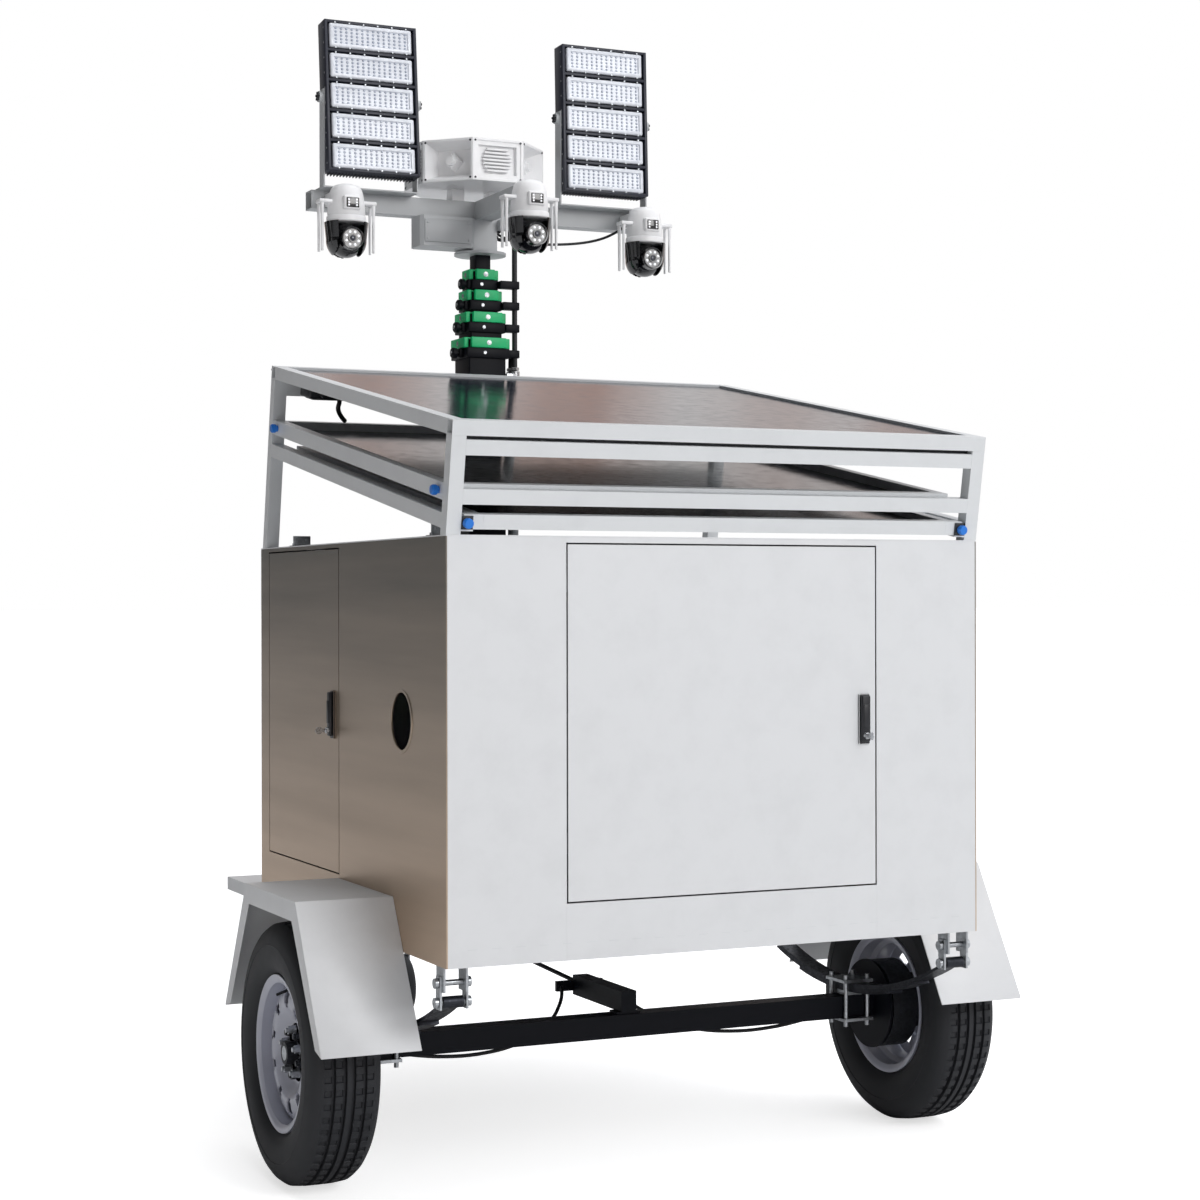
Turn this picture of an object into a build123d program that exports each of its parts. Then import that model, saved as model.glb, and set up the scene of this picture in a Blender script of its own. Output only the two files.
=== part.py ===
"""Solar surveillance light-tower trailer: a steel cabinet on one sprung axle, with a tilted stack
of sliding solar panels on its roof and a five-stage telescopic mast on its front deck.

Frame: X right as seen from behind, Y forward (the towing direction), Z up from the ground, in
millimetres. The origin is on the ground, on the centre line, halfway along the trailer.
"""

import os
from math import cos, hypot, radians, sin, tan

from build123d import *

os.makedirs("parts", exist_ok=True)

# ---------------------------------------------------------------- driving dimensions
OVERALL_LENGTH = 3450.0  # rear corner of the solar cage to the nose of the coupling

CABINET_WIDTH = 1450.0
CABINET_LENGTH = 1480.0
CABINET_HEIGHT = 1000.0
CABINET_BOTTOM = 600.0  # ground to the lower edge of the cabinet
SHEET = 3.0  # cabinet sheet steel
SEAM = 0.2  # between pieces that are welded or riveted edge to edge

FRAME_HEIGHT = 40.0  # ladder frame inside the cabinet's skirt
FRAME_TUBE = 60.0
FRAME_WALL = 3.0
CROSS_MEMBERS = (3.2, 340.0, 740.0, 1080.0, 1416.8)  # rear edge of each, from the rear face

DOOR_GAP = 4.0
DOOR_DEPTH = 23.0
DOOR_RIM = 25.0  # the door's inner frame stands this far in from its edge
REAR_DOOR = (307.0, 1149.0, 138.0, 980.0)  # from the left edge, and up from the cabinet's bottom
SIDE_DOOR = (780.0, 1398.0, 140.0, 983.0)  # from the rear face, and up from the cabinet's bottom
PORT_RADIUS = 70.0
PORT_PLACE = (301.0, 557.0)

HINGE_OUT = 14.0  # pin, from the door's edge towards the frame
HINGE_IN = 12.0  # pin, inwards from the cabinet's face
HINGE_PIN = 4.0  # radius
HINGE_ARM = 5.0
HINGE_TALL = 50.0
HINGE_HEIGHTS = (110.0, 730.0)  # above the door's lower edge
RUNNING = 0.05  # radial clearance of pins, shafts and wheels

LOCK_SIZE = (31.0, 125.0)
LOCK_FROM_EDGE = 34.0
LOCK_SIDE_FROM_EDGE = 42.0
LOCK_LOW = 488.0
LATCH_CLEAR = 4.0  # a shut latch tongue stops this far short of the door frame's edge
LOCK_PLATE = 5.0

SLOPE = 10.2  # degrees, the solar cage leans back
CAGE_RISE = 265.0  # square to the slope, at the cabinet's rear edge
CAGE_LENGTH = 1440.0  # along the slope
CAGE_TUBE = 36.0
CAGE_WALL = 3.0
LOWER_RAIL = 10.0  # square to the slope, underside of the side rails
THIRD_RAIL = 70.0
SECOND_RAIL = 184.0
PANEL_GLASS = 6.0
PANEL_DROP = 12.0  # underside of the top panel below the top of the cage
DRAWER_BAR = 30.0
LEFT_DRAWER = (74.0, 114.0)  # underside and top of its frame, square to the slope
REAR_DRAWER = (12.0, 47.0)
DRAWER_REACH = 4.0  # from the face of the cage
RUNNER = 3.7
SIDE_PLAY = 0.3  # running gap beside the drawers, the yokes and the mast tubes

DECK_REACH = 360.0
DECK_TOP = 618.0
DECK_DEPTH = 38.0
DRAWBAR_WIDTH = 100.0
DRAWBAR_HEIGHT = 80.0
DRAWBAR_WALL = 5.0
DRAWBAR_REAR = 700.0  # from the rear face
BRACE_WIDTH = 60.0
BRACE_FOOT = (560.0, 1300.0)
BRACE_HEAD = 2450.0

TRACK = 1750.0
TYRE_RADIUS = 325.0
TYRE_WIDTH = 185.0
RIM_SEAT = 178.0
RIM_FLANGE = 195.0
RIM_HALF = 70.0
AXLE_PLACE = 572.0  # from the rear face
AXLE_BEAM = 60.0
STUB_RADIUS = 22.0
DRUM_RADIUS = 120.0
STUD_CIRCLE = 56.0
STUD_RADIUS = 7.0

SPRING_WIDTH = 50.0
SPRING_X = 690.0
SPRING_LEAF = 8.0
SPRING_RADIUS = 1135.0
SPRING_REACH = 27.0  # degrees each side of the axle, to the root of an eye
HANGER_BOLT_Z = 560.0

FENDER_WIDTH = 250.0
FENDER_TOP = 727.0
FENDER_FOOT = 386.0
FENDER_PLAN = (160.0, 362.0, 782.0, 974.0)  # from the rear face
FENDER_SHEET = 3.0
FENDER_LIP = 50.0
LIP_TRIM = 32.0  # the lip stops this far short of each bend

MAST_PLACE = 1594.0  # from the rear face
MAST_TUBES = (120.0, 102.0, 84.0, 67.0, 50.0)
MAST_WALL = 4.0
COLLAR_LOW = (2214.0, 2292.0, 2360.0, 2424.0)  # underside of each green band
COLLAR_TALL = 31.0
COLLAR_PROUD = 14.0
CLAMP_TALL = 30.0
CLAMP_PROUD = 9.0
TUBE_FEET = (630.2, 650.0, 665.0, 680.0, 695.0)

FLANGE_RADIUS = 79.0
FLANGE_Z = 2500.0
HEAD_COLUMN = 80.0
ARM = 55.0
ARM_Z = 2605.0
ARM_LEFT = 545.0
ARM_RIGHT = 530.0
ARM_REAR = 330.0

CAMERAS = ((-480.0, 1440.0, 2495.0), (0.0, 1210.0, 2505.0), (483.0, 1440.0, 2495.0))
BALL_RADIUS = 50.0
LAMPS = ((-380.0, 5.0), (376.0, 2.0))  # place along the arm, and backward tilt in degrees
LAMP_WIDTH = 285.0
LAMP_HEIGHT = 450.0
LAMP_DEPTH = 70.0
LAMP_PIVOT_Z = 2926.0
LAMP_Y = 1525.0
SPEAKER_FLATS = 390.0
SPEAKER_Z = (2696.0, 2821.0)
SPEAKER_X = -20.0

JOCKEY_X = 112.0
JOCKEY_PLACE = 2650.0
JOCKEY_WHEEL = 110.0
JOCKEY_WIDTH = 60.0
JOCKEY_TUBE = (20.0, 24.0)  # inner and outer tube, outer radii
JOCKEY_OUTER = (450.0, 900.0)
COUPLING_START = 2900.0

# ---------------------------------------------------------------- worked out from the above
HALF = CABINET_WIDTH / 2
REAR = -OVERALL_LENGTH / 2 + CAGE_RISE * sin(radians(SLOPE))  # Y of the cabinet's rear face
FRONT = REAR + CABINET_LENGTH
ROOF = CABINET_BOTTOM + CABINET_HEIGHT
FLOOR = CABINET_BOTTOM + FRAME_HEIGHT + SEAM
NOSE = OVERALL_LENGTH / 2
AXLE_Y = REAR + AXLE_PLACE
MAST_Y = REAR + MAST_PLACE
INSIDE = HALF - SHEET  # inner face of the side sheets
DRAWBAR_TOP = DECK_TOP - DECK_DEPTH - SEAM
DRAWBAR_LOW = DRAWBAR_TOP - DRAWBAR_HEIGHT
COUPLING_Z = (DRAWBAR_TOP + DRAWBAR_LOW) / 2
WHEEL_X = TRACK / 2
DECK_FRONT = FRONT + DECK_REACH

SLOPED = Plane(
    origin=(-HALF, REAR, ROOF),
    x_dir=(1, 0, 0),
    z_dir=(0, -sin(radians(SLOPE)), cos(radians(SLOPE))),
)  # along it: X from the left edge, Y up the slope, Z square to the slope


# ---------------------------------------------------------------- shared shapes
def block(x, y, z, mode=Mode.ADD):
    """A box between pairs of limits, in the builder's own workplane."""
    with Locations(((x[0] + x[1]) / 2, (y[0] + y[1]) / 2, (z[0] + z[1]) / 2)):
        Box(x[1] - x[0], y[1] - y[0], z[1] - z[0], mode=mode)


def tube_along(axis, x, y, z, wall):
    """A square tube, open at both ends, along "x", "y" or "z"."""
    block(x, y, z)
    spans = {"x": x, "y": y, "z": z}
    bore = {
        name: span if name == axis else (span[0] + wall, span[1] - wall)
        for name, span in spans.items()
    }
    block(bore["x"], bore["y"], bore["z"], mode=Mode.SUBTRACT)


def rod(start, end, radius, mode=Mode.ADD):
    """A round bar between two points, in the part's frame."""
    run = Vector(*end) - Vector(*start)
    with BuildSketch(Plane(origin=start, z_dir=run)) as section:
        Circle(radius)
    extrude(section.sketch, amount=run.length, mode=mode)


def plate_between(start, end, thick, x):
    """A flat plate whose side view runs from start to end, given as (Y, Z), across x."""
    run = (end[0] - start[0], end[1] - start[1])
    place = Plane(origin=(x[0], start[0], start[1]), x_dir=(0, *run), z_dir=(1, 0, 0))
    with BuildSketch(place) as side:
        with Locations((hypot(*run) / 2, 0)):
            Rectangle(hypot(*run), thick)
    extrude(side.sketch, amount=x[1] - x[0])


def finish(part, name):
    part.label = name
    export_step(part, f"parts/{name}.step")


# ---------------------------------------------------------------- chassis
with BuildPart() as chassis_frame:
    frame_z = (CABINET_BOTTOM, CABINET_BOTTOM + FRAME_HEIGHT)
    for side in (-1, 1):
        rail = sorted((side * (INSIDE - SEAM), side * (INSIDE - SEAM - FRAME_TUBE)))
        tube_along("y", rail, (REAR + SHEET + SEAM, FRONT - SHEET - SEAM), frame_z, FRAME_WALL)
    cross_x = INSIDE - FRAME_TUBE - 2 * SEAM
    for edge in CROSS_MEMBERS:
        cross_y = (REAR + edge, REAR + edge + FRAME_TUBE)
        tube_along("x", (-cross_x, cross_x), cross_y, frame_z, FRAME_WALL)
    drawbar_z = (DRAWBAR_LOW, DRAWBAR_TOP)
    half_bar = DRAWBAR_WIDTH / 2
    tube_along(
        "y",
        (-half_bar, half_bar),
        (REAR + DRAWBAR_REAR, REAR + COUPLING_START),
        drawbar_z,
        DRAWBAR_WALL,
    )
    brace_run = (BRACE_FOOT[0], BRACE_HEAD - BRACE_FOOT[1])
    for side in (-1, 1):
        foot = (side * BRACE_FOOT[0], REAR + BRACE_FOOT[1], DRAWBAR_LOW)
        along = Plane(origin=foot, x_dir=(-side * brace_run[0], brace_run[1], 0), z_dir=(0, 0, 1))
        with BuildSketch(along) as brace:
            with Locations((hypot(*brace_run) / 2, 0)):
                Rectangle(hypot(*brace_run), BRACE_WIDTH)
        extrude(brace.sketch, amount=DRAWBAR_HEIGHT)
    keep_out = half_bar + SEAM
    for side in (-1, 1):
        trim = sorted((side * half_bar, side * keep_out))
        block(trim, (REAR + BRACE_FOOT[1], REAR + BRACE_HEAD), drawbar_z, mode=Mode.SUBTRACT)
    block(
        (-half_bar + DRAWBAR_WALL, half_bar - DRAWBAR_WALL),
        (REAR + DRAWBAR_REAR, REAR + COUPLING_START),
        (DRAWBAR_LOW + DRAWBAR_WALL, DRAWBAR_TOP - DRAWBAR_WALL),
        mode=Mode.SUBTRACT,
    )
    for edge in (CROSS_MEMBERS[2], CROSS_MEMBERS[3], CROSS_MEMBERS[4]):
        packer_y = (REAR + edge, REAR + edge + FRAME_TUBE)
        packer_z = (DRAWBAR_TOP + SEAM, CABINET_BOTTOM - SEAM)
        block((-half_bar, half_bar), packer_y, packer_z)
    for side in (-1, 1):
        packer = sorted((side * (BRACE_FOOT[0] - 110), side * (BRACE_FOOT[0] - 50)))
        edge = CROSS_MEMBERS[4]
        block(packer, (REAR + edge, REAR + edge + FRAME_TUBE), packer_z)
finish(chassis_frame.part, "chassis_frame")

with BuildPart() as front_deck:
    deck_y = (FRONT + SEAM, DECK_FRONT)
    block((-HALF, HALF), deck_y, (DECK_TOP - DECK_DEPTH, DECK_TOP))
    block(
        (-HALF + SHEET, HALF - SHEET),
        (deck_y[0] + SHEET, deck_y[1] - SHEET),
        (DECK_TOP - DECK_DEPTH, DECK_TOP - SHEET),
        mode=Mode.SUBTRACT,
    )
    block(
        (-HALF / 2, HALF / 2),
        (MAST_Y - 60, MAST_Y + 60),
        (DECK_TOP - DECK_DEPTH, DECK_TOP - SHEET),
    )
finish(front_deck.part, "front_deck")

# ---------------------------------------------------------------- cabinet
with BuildPart() as cabinet_floor:
    block(
        (-INSIDE + SEAM, INSIDE - SEAM),
        (REAR + SHEET + SEAM, FRONT - SHEET - SEAM),
        (FLOOR, FLOOR + SHEET),
    )
finish(cabinet_floor.part, "cabinet_floor")

with BuildPart() as cabinet_roof:
    block((-HALF, HALF), (REAR, FRONT), (ROOF - SHEET, ROOF))
finish(cabinet_roof.part, "cabinet_roof")

WALL_TOP = ROOF - SHEET - SEAM


def hinge_place(door_edge, low, from_rear):
    """The lower end of a hinge pin: X towards the door, Y into the cabinet, Z up."""
    if from_rear:
        origin = (-HALF + door_edge - HINGE_OUT, REAR + HINGE_IN, low)
        return Plane(origin=origin, x_dir=(1, 0, 0), z_dir=(0, 0, 1))
    origin = (-HALF + HINGE_IN, REAR + door_edge + HINGE_OUT, low)
    return Plane(origin=origin, x_dir=(0, -1, 0), z_dir=(0, 0, 1))


def hinge_pin(place):
    """A pin on two lugs that reach back to the sheet beside the door."""
    lug_gap = HINGE_TALL + 2 * SIDE_PLAY
    with BuildSketch(place.offset(-SIDE_PLAY - HINGE_ARM)) as pin:
        Circle(HINGE_PIN)
    extrude(pin.sketch, amount=lug_gap + 2 * HINGE_ARM)
    reach = HINGE_IN - SHEET
    for level in (-SIDE_PLAY - HINGE_ARM, HINGE_TALL + SIDE_PLAY):
        with BuildSketch(place.offset(level)) as lug:
            with Locations((-3, -reach / 2 + 3.5)):
                Rectangle(14, reach + 7)
        extrude(lug.sketch, amount=HINGE_ARM)


def hinge_arm(place):
    """A swan-neck arm from the pin, round the frame's edge, to the door's inner face."""
    back = HINGE_IN - SHEET
    with BuildSketch(place) as arm:
        with Locations((0, 9)):
            Rectangle(HINGE_ARM, 18)
        with Locations((13, 18)):
            Rectangle(31, HINGE_ARM)
        with Locations((26, (18 - back) / 2 + 1.35)):
            Rectangle(HINGE_ARM, 18 + back - 2.3)
        with Locations((34, -back + HINGE_ARM / 2 + SEAM)):
            Rectangle(21, HINGE_ARM)
        Circle(HINGE_PIN + 4)
        Circle(HINGE_PIN + RUNNING, mode=Mode.SUBTRACT)
    extrude(arm.sketch, amount=HINGE_TALL)


with BuildPart() as cabinet_side_panels:
    wall_z = (CABINET_BOTTOM, WALL_TOP)
    door_y = (REAR + SIDE_DOOR[0] - DOOR_GAP, REAR + SIDE_DOOR[1] + DOOR_GAP)
    door_z = (
        CABINET_BOTTOM + SIDE_DOOR[2] - DOOR_GAP,
        CABINET_BOTTOM + SIDE_DOOR[3] + DOOR_GAP,
    )
    left_x = (-HALF, -INSIDE)
    block(left_x, (REAR, door_y[0] - SEAM), wall_z)
    block(left_x, (door_y[1] + SEAM, FRONT), wall_z)
    block(left_x, door_y, (wall_z[0], door_z[0]))
    block(left_x, door_y, (door_z[1], wall_z[1]))
    port = (-HALF - 1, REAR + PORT_PLACE[0], CABINET_BOTTOM + PORT_PLACE[1])
    rod(port, (-INSIDE + 1, port[1], port[2]), PORT_RADIUS, mode=Mode.SUBTRACT)
    block((INSIDE, HALF), (REAR, FRONT), wall_z)
    for height in HINGE_HEIGHTS:
        hinge_pin(hinge_place(SIDE_DOOR[1], CABINET_BOTTOM + SIDE_DOOR[2] + height, False))
finish(cabinet_side_panels.part, "cabinet_side_panels")

with BuildPart() as cabinet_end_panels:
    across = (-INSIDE + SEAM, INSIDE - SEAM)
    door_x = (-HALF + REAR_DOOR[0] - DOOR_GAP, -HALF + REAR_DOOR[1] + DOOR_GAP)
    door_z = (
        CABINET_BOTTOM + REAR_DOOR[2] - DOOR_GAP,
        CABINET_BOTTOM + REAR_DOOR[3] + DOOR_GAP,
    )
    rear_y = (REAR, REAR + SHEET)
    block((across[0], door_x[0] - SEAM), rear_y, wall_z)
    block((door_x[1] + SEAM, across[1]), rear_y, wall_z)
    block(door_x, rear_y, (wall_z[0], door_z[0]))
    block(door_x, rear_y, (door_z[1], wall_z[1]))
    block(across, (FRONT - SHEET, FRONT), wall_z)
    for height in HINGE_HEIGHTS:
        hinge_pin(hinge_place(REAR_DOOR[0], CABINET_BOTTOM + REAR_DOOR[2] + height, True))
finish(cabinet_end_panels.part, "cabinet_end_panels")


def door_leaf(width, height, lock_at, lock_low):
    """A door pan in its own frame: X along it from the hinge, Y inwards, Z up from its foot."""
    block((0, width), (0, SHEET), (0, height))
    rim = (DOOR_RIM, width - DOOR_RIM)
    rise = (DOOR_RIM, height - DOOR_RIM)
    deep = (SHEET, DOOR_DEPTH)
    block((rim[0] + 24, rim[0] + 27), deep, rise)
    block((rim[1] - 3, rim[1]), deep, rise)
    block((rim[0] + 27, rim[1] - 3), deep, (rise[0], rise[0] + 3))
    block((rim[0] + 27, rim[1] - 3), deep, (rise[1] - 3, rise[1]))
    lock_x = (lock_at - LOCK_SIZE[0] / 2, lock_at + LOCK_SIZE[0] / 2)
    block(lock_x, (-SEAM - LOCK_PLATE, -SEAM), (lock_low, lock_low + LOCK_SIZE[1]))
    shaft = lock_low + LOCK_SIZE[1] - LOCK_SIZE[0] / 2
    with Locations((lock_at, 0, shaft)):
        Cylinder(6 + RUNNING, 2 * DOOR_DEPTH, rotation=(90, 0, 0), mode=Mode.SUBTRACT)


def door_lever(lock_at, lock_low, reach):
    """Lever, key barrel, key, shaft and latch tongue, in the door leaf's frame."""
    half = LOCK_SIZE[0] / 2 - 3
    face = -SEAM - LOCK_PLATE - SIDE_PLAY
    shaft = lock_low + LOCK_SIZE[1] - LOCK_SIZE[0] / 2
    low = lock_low + 6
    block((lock_at - half, lock_at + half), (face - 9, face), (low, shaft + half))
    with Locations((lock_at, (face + DOOR_DEPTH + 8) / 2, shaft)):
        Cylinder(6, DOOR_DEPTH + 8 - face, rotation=(90, 0, 0))
    tongue = (lock_at - 10, lock_at + reach)
    block(tongue, (DOOR_DEPTH + 2, DOOR_DEPTH + 6), (shaft - 10, shaft + 10))
    with Locations((lock_at, face - 9 - SEAM - 3, low + 16)):
        Cylinder(9, 6, rotation=(90, 0, 0))
    key_y = face - 9 - 2 * SEAM - 6
    block((lock_at - 1, lock_at + 1), (key_y - 18, key_y), (low + 6, low + 22))


for door_name, limits, across_rear, from_edge in (
    ("rear_door", REAR_DOOR, True, LOCK_FROM_EDGE),
    ("left_door", SIDE_DOOR, False, LOCK_SIDE_FROM_EDGE),
):
    leaf_width = limits[1] - limits[0]
    leaf_height = limits[3] - limits[2]
    leaf_foot = CABINET_BOTTOM + limits[2]
    leaf_lock_low = LOCK_LOW - limits[2]
    if across_rear:
        leaf_plane = Plane(origin=(-HALF + limits[0], REAR, leaf_foot), x_dir=(1, 0, 0))
    else:
        leaf_plane = Plane(origin=(-HALF, REAR + limits[1], leaf_foot), x_dir=(0, -1, 0))
    edge = limits[0] if across_rear else limits[1]
    with BuildPart(leaf_plane) as door:
        door_leaf(leaf_width, leaf_height, leaf_width - from_edge, leaf_lock_low)
        for height in HINGE_HEIGHTS:
            hinge_arm(hinge_place(edge, leaf_foot + height, across_rear))
    finish(door.part, door_name)
    with BuildPart(leaf_plane) as lever:
        door_lever(leaf_width - from_edge, leaf_lock_low, from_edge - LATCH_CLEAR)
    finish(lever.part, door_name + "_lever")

# ---------------------------------------------------------------- cabinet contents
with BuildPart() as battery_bank:
    for column in (0, 1):
        for row in (0, 1):
            x0 = -INSIDE + 40 + column * 250
            y0 = REAR + 800 + row * 290
            block((x0, x0 + 240), (y0, y0 + 275), (FLOOR + SHEET + SEAM, FLOOR + SHEET + 220))
            for post in (60, 215):
                with Locations((x0 + 40, y0 + post, FLOOR + SHEET + 226)):
                    Cylinder(9, 11.6)
finish(battery_bank.part, "battery_bank")

with BuildPart() as equipment_plate:
    plate_y = REAR + 1150
    base = FLOOR + SHEET + SEAM
    block((60, 680), (plate_y, plate_y + 3), (base, base + 850))
    block((60, 680), (plate_y - 60, plate_y - SEAM), (base, base + 3))
    for box in (
        ((90, 390), (100, 0), (600, 800)),
        ((430, 660), (70, 0), (560, 790)),
        ((90, 390), (60, 0), (480, 560)),
    ):
        box_y = (plate_y - SEAM - box[1][0], plate_y - SEAM)
        block(box[0], box_y, (base + box[2][0], base + box[2][1]))
    block((360, 660), (plate_y - 300, plate_y - 120), (base, base + 180))
    rod((400, plate_y - 210, base + 228.2), (620, plate_y - 210, base + 228.2), 48)
finish(equipment_plate.part, "equipment_plate")

# ---------------------------------------------------------------- fenders
with BuildPart() as fenders:
    plan = [REAR + place for place in FENDER_PLAN]
    half_sheet = FENDER_SHEET / 2
    top_z = FENDER_TOP - half_sheet
    runs = (
        ((plan[0], FENDER_FOOT), (plan[1] - 1, FENDER_TOP - FENDER_SHEET)),
        ((plan[1], top_z), (plan[2], top_z)),
        ((plan[2] + 1, FENDER_TOP - FENDER_SHEET), (plan[3], FENDER_FOOT)),
    )
    drop = FENDER_LIP / 2 + half_sheet + SEAM  # from a sheet's middle to its lip's middle
    for side in (-1, 1):
        sheet_x = sorted((side * (HALF + SEAM), side * (HALF + FENDER_WIDTH)))
        lip_x = sorted((side * (HALF + FENDER_WIDTH - FENDER_SHEET), side * (HALF + FENDER_WIDTH)))
        for start, end in runs:
            plate_between(start, end, FENDER_SHEET, sheet_x)
            run = Vector(end[0] - start[0], end[1] - start[1])
            along = run.normalized()
            inward = Vector(along.Y, -along.X) * drop
            trim = along * LIP_TRIM
            lip_start = Vector(*start) + inward + trim
            lip_end = Vector(*end) + inward - trim
            plate_between((lip_start.X, lip_start.Y), (lip_end.X, lip_end.Y), FENDER_LIP, lip_x)
finish(fenders.part, "fenders")

# ---------------------------------------------------------------- axle, springs and brakes
PAD = 12.0
SPRING_CENTRE_Z = TYRE_RADIUS + AXLE_BEAM / 2 + PAD + 2 * SEAM + SPRING_RADIUS
MASTER = SPRING_RADIUS - 2 * (SPRING_LEAF + SEAM)  # outer radius of the top leaf
EYE_RADIUS = MASTER - SPRING_LEAF / 2
EYE_ANGLE = radians(SPRING_REACH + 0.6)
EYE_Y = EYE_RADIUS * sin(EYE_ANGLE)  # from the axle
EYE_Z = SPRING_CENTRE_Z - EYE_RADIUS * cos(EYE_ANGLE)
BEAM_END = WHEEL_X - 126.0
BOLT = 7.0
BOLT_HOLE = BOLT + SEAM

with BuildPart() as axle_beam:
    half_beam = AXLE_BEAM / 2
    beam_y = (AXLE_Y - half_beam, AXLE_Y + half_beam)
    beam_z = (TYRE_RADIUS - half_beam, TYRE_RADIUS + half_beam)
    tube_along("x", (-BEAM_END, BEAM_END), beam_y, beam_z, DRAWBAR_WALL)
    for side in (-1, 1):
        inner = side * (BEAM_END + SEAM)
        centre = (inner, AXLE_Y, TYRE_RADIUS)
        rod(centre, (side * (WHEEL_X + 24), AXLE_Y, TYRE_RADIUS), STUB_RADIUS)
        rod(centre, (inner + side * 6, AXLE_Y, TYRE_RADIUS), DRUM_RADIUS + 2)
finish(axle_beam.part, "axle_beam")

with BuildPart() as leaf_springs:
    for side in (-1, 1):
        spring_x = side * SPRING_X - SPRING_WIDTH / 2
        hub = Plane(origin=(spring_x, AXLE_Y, SPRING_CENTRE_Z), x_dir=(0, 1, 0), z_dir=(1, 0, 0))
        for number, reach in enumerate((12.0, 19.0, SPRING_REACH)):
            outer = SPRING_RADIUS - number * (SPRING_LEAF + SEAM)
            with BuildSketch(hub) as leaf:
                with BuildLine():
                    low = CenterArc((0, 0), outer, 270 - reach, 2 * reach)
                    high = CenterArc((0, 0), outer - SPRING_LEAF, 270 - reach, 2 * reach)
                    Line(low @ 0, high @ 0)
                    Line(low @ 1, high @ 1)
                make_face()
                if reach == SPRING_REACH:
                    for end in (-1, 1):
                        with Locations((end * EYE_Y, EYE_Z - SPRING_CENTRE_Z)):
                            Circle(14)
                            Circle(BOLT_HOLE, mode=Mode.SUBTRACT)
            extrude(leaf.sketch, amount=SPRING_WIDTH)
finish(leaf_springs.part, "leaf_springs")


def bolt_across(x, y, z, length):
    """A bolt along X with a round head at each end."""
    rod((x - length / 2, y, z), (x + length / 2, y, z), BOLT)
    for end in (-1, 1):
        tip = x + end * length / 2
        rod((tip, y, z), (tip + end * 8, y, z), BOLT + 5)


with BuildPart() as spring_fittings:
    for side in (-1, 1):
        centre_x = side * SPRING_X
        for end in (-1, 1):
            hanger_y = AXLE_Y + end * EYE_Y
            bolt_z = HANGER_BOLT_Z if end < 0 else EYE_Z
            for cheek in (-1, 1):
                near = centre_x + cheek * (SPRING_WIDTH / 2 + SIDE_PLAY)
                cheek_x = sorted((near, near + cheek * 5))
                cheek_z = (bolt_z - 20, CABINET_BOTTOM - SEAM)
                block(cheek_x, (hanger_y - 24, hanger_y + 24), cheek_z)
                if end < 0:
                    near += cheek * (5 + SEAM)
                    link_x = sorted((near, near + cheek * 5))
                    block(link_x, (hanger_y - 14, hanger_y + 14), (EYE_Z - 16, bolt_z + 16))
            for level in {bolt_z, EYE_Z}:
                hole = (centre_x - 40, hanger_y, level)
                rod(hole, (centre_x + 40, hanger_y, level), BOLT_HOLE, mode=Mode.SUBTRACT)
            for level in {bolt_z, EYE_Z}:
                bolt_across(centre_x, hanger_y, level, SPRING_WIDTH + 24)
        beam_top = TYRE_RADIUS + AXLE_BEAM / 2 + SEAM
        seat_x = (centre_x - SPRING_WIDTH / 2, centre_x + SPRING_WIDTH / 2)
        block(seat_x, (AXLE_Y - 25, AXLE_Y + 25), (beam_top, beam_top + PAD))
        leaf_top = SPRING_CENTRE_Z - MASTER + SPRING_LEAF + SEAM
        beam_low = TYRE_RADIUS - AXLE_BEAM / 2 - SEAM
        plate_x = (centre_x - 46, centre_x + 46)
        plate_y = (AXLE_Y - 50, AXLE_Y + 50)
        block(plate_x, plate_y, (leaf_top + 1.2, leaf_top + 9.2))
        block(plate_x, plate_y, (beam_low - 8, beam_low))
        for x in (-34, 34):
            for y in (-38, 38):
                foot = (centre_x + x, AXLE_Y + y, beam_low - 22)
                head = (centre_x + x, AXLE_Y + y, leaf_top + 22)
                rod(foot, head, 6 + SEAM, mode=Mode.SUBTRACT)
                rod(foot, head, 6)
finish(spring_fittings.part, "spring_fittings")

LINK_Z = 385.0
CABLE_RADIUS = 5.0
with BuildPart() as brake_linkage:
    beam_top = TYRE_RADIUS + AXLE_BEAM / 2 + SEAM
    block((-34, 34), (AXLE_Y - 24, AXLE_Y + 24), (beam_top, beam_top + 6))
    block((-22, 22), (AXLE_Y - 24, AXLE_Y + 290), (beam_top + 6, beam_top + 60))
    bar_y = AXLE_Y + 290
    block((-70, 70), (bar_y + SEAM, bar_y + 12), (LINK_Z - 14, LINK_Z + 14))
    guide_y = REAR + DRAWBAR_REAR + 500
    rod_start = (0, bar_y + 12 + 4 * SEAM, LINK_Z + 5)
    rod_end = (0, REAR + COUPLING_START - 60, DRAWBAR_LOW - 22)
    rod(rod_start, rod_end, 6)
    block((-12, 12), (rod_end[1] - 12, rod_end[1] + 12), (rod_end[2] - 12, DRAWBAR_LOW - SEAM))
finish(brake_linkage.part, "brake_linkage")


def cord_radii(points):
    """A bend radius for each inner point: as large as its two runs allow."""
    radii = []
    for before, here, after in zip(points, points[1:], points[2:]):
        arrive = Vector(*here) - Vector(*before)
        leave = Vector(*after) - Vector(*here)
        half_turn = radians(arrive.get_angle(leave)) / 2
        radii.append(0.45 * min(arrive.length, leave.length) / tan(half_turn))
    return radii


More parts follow.
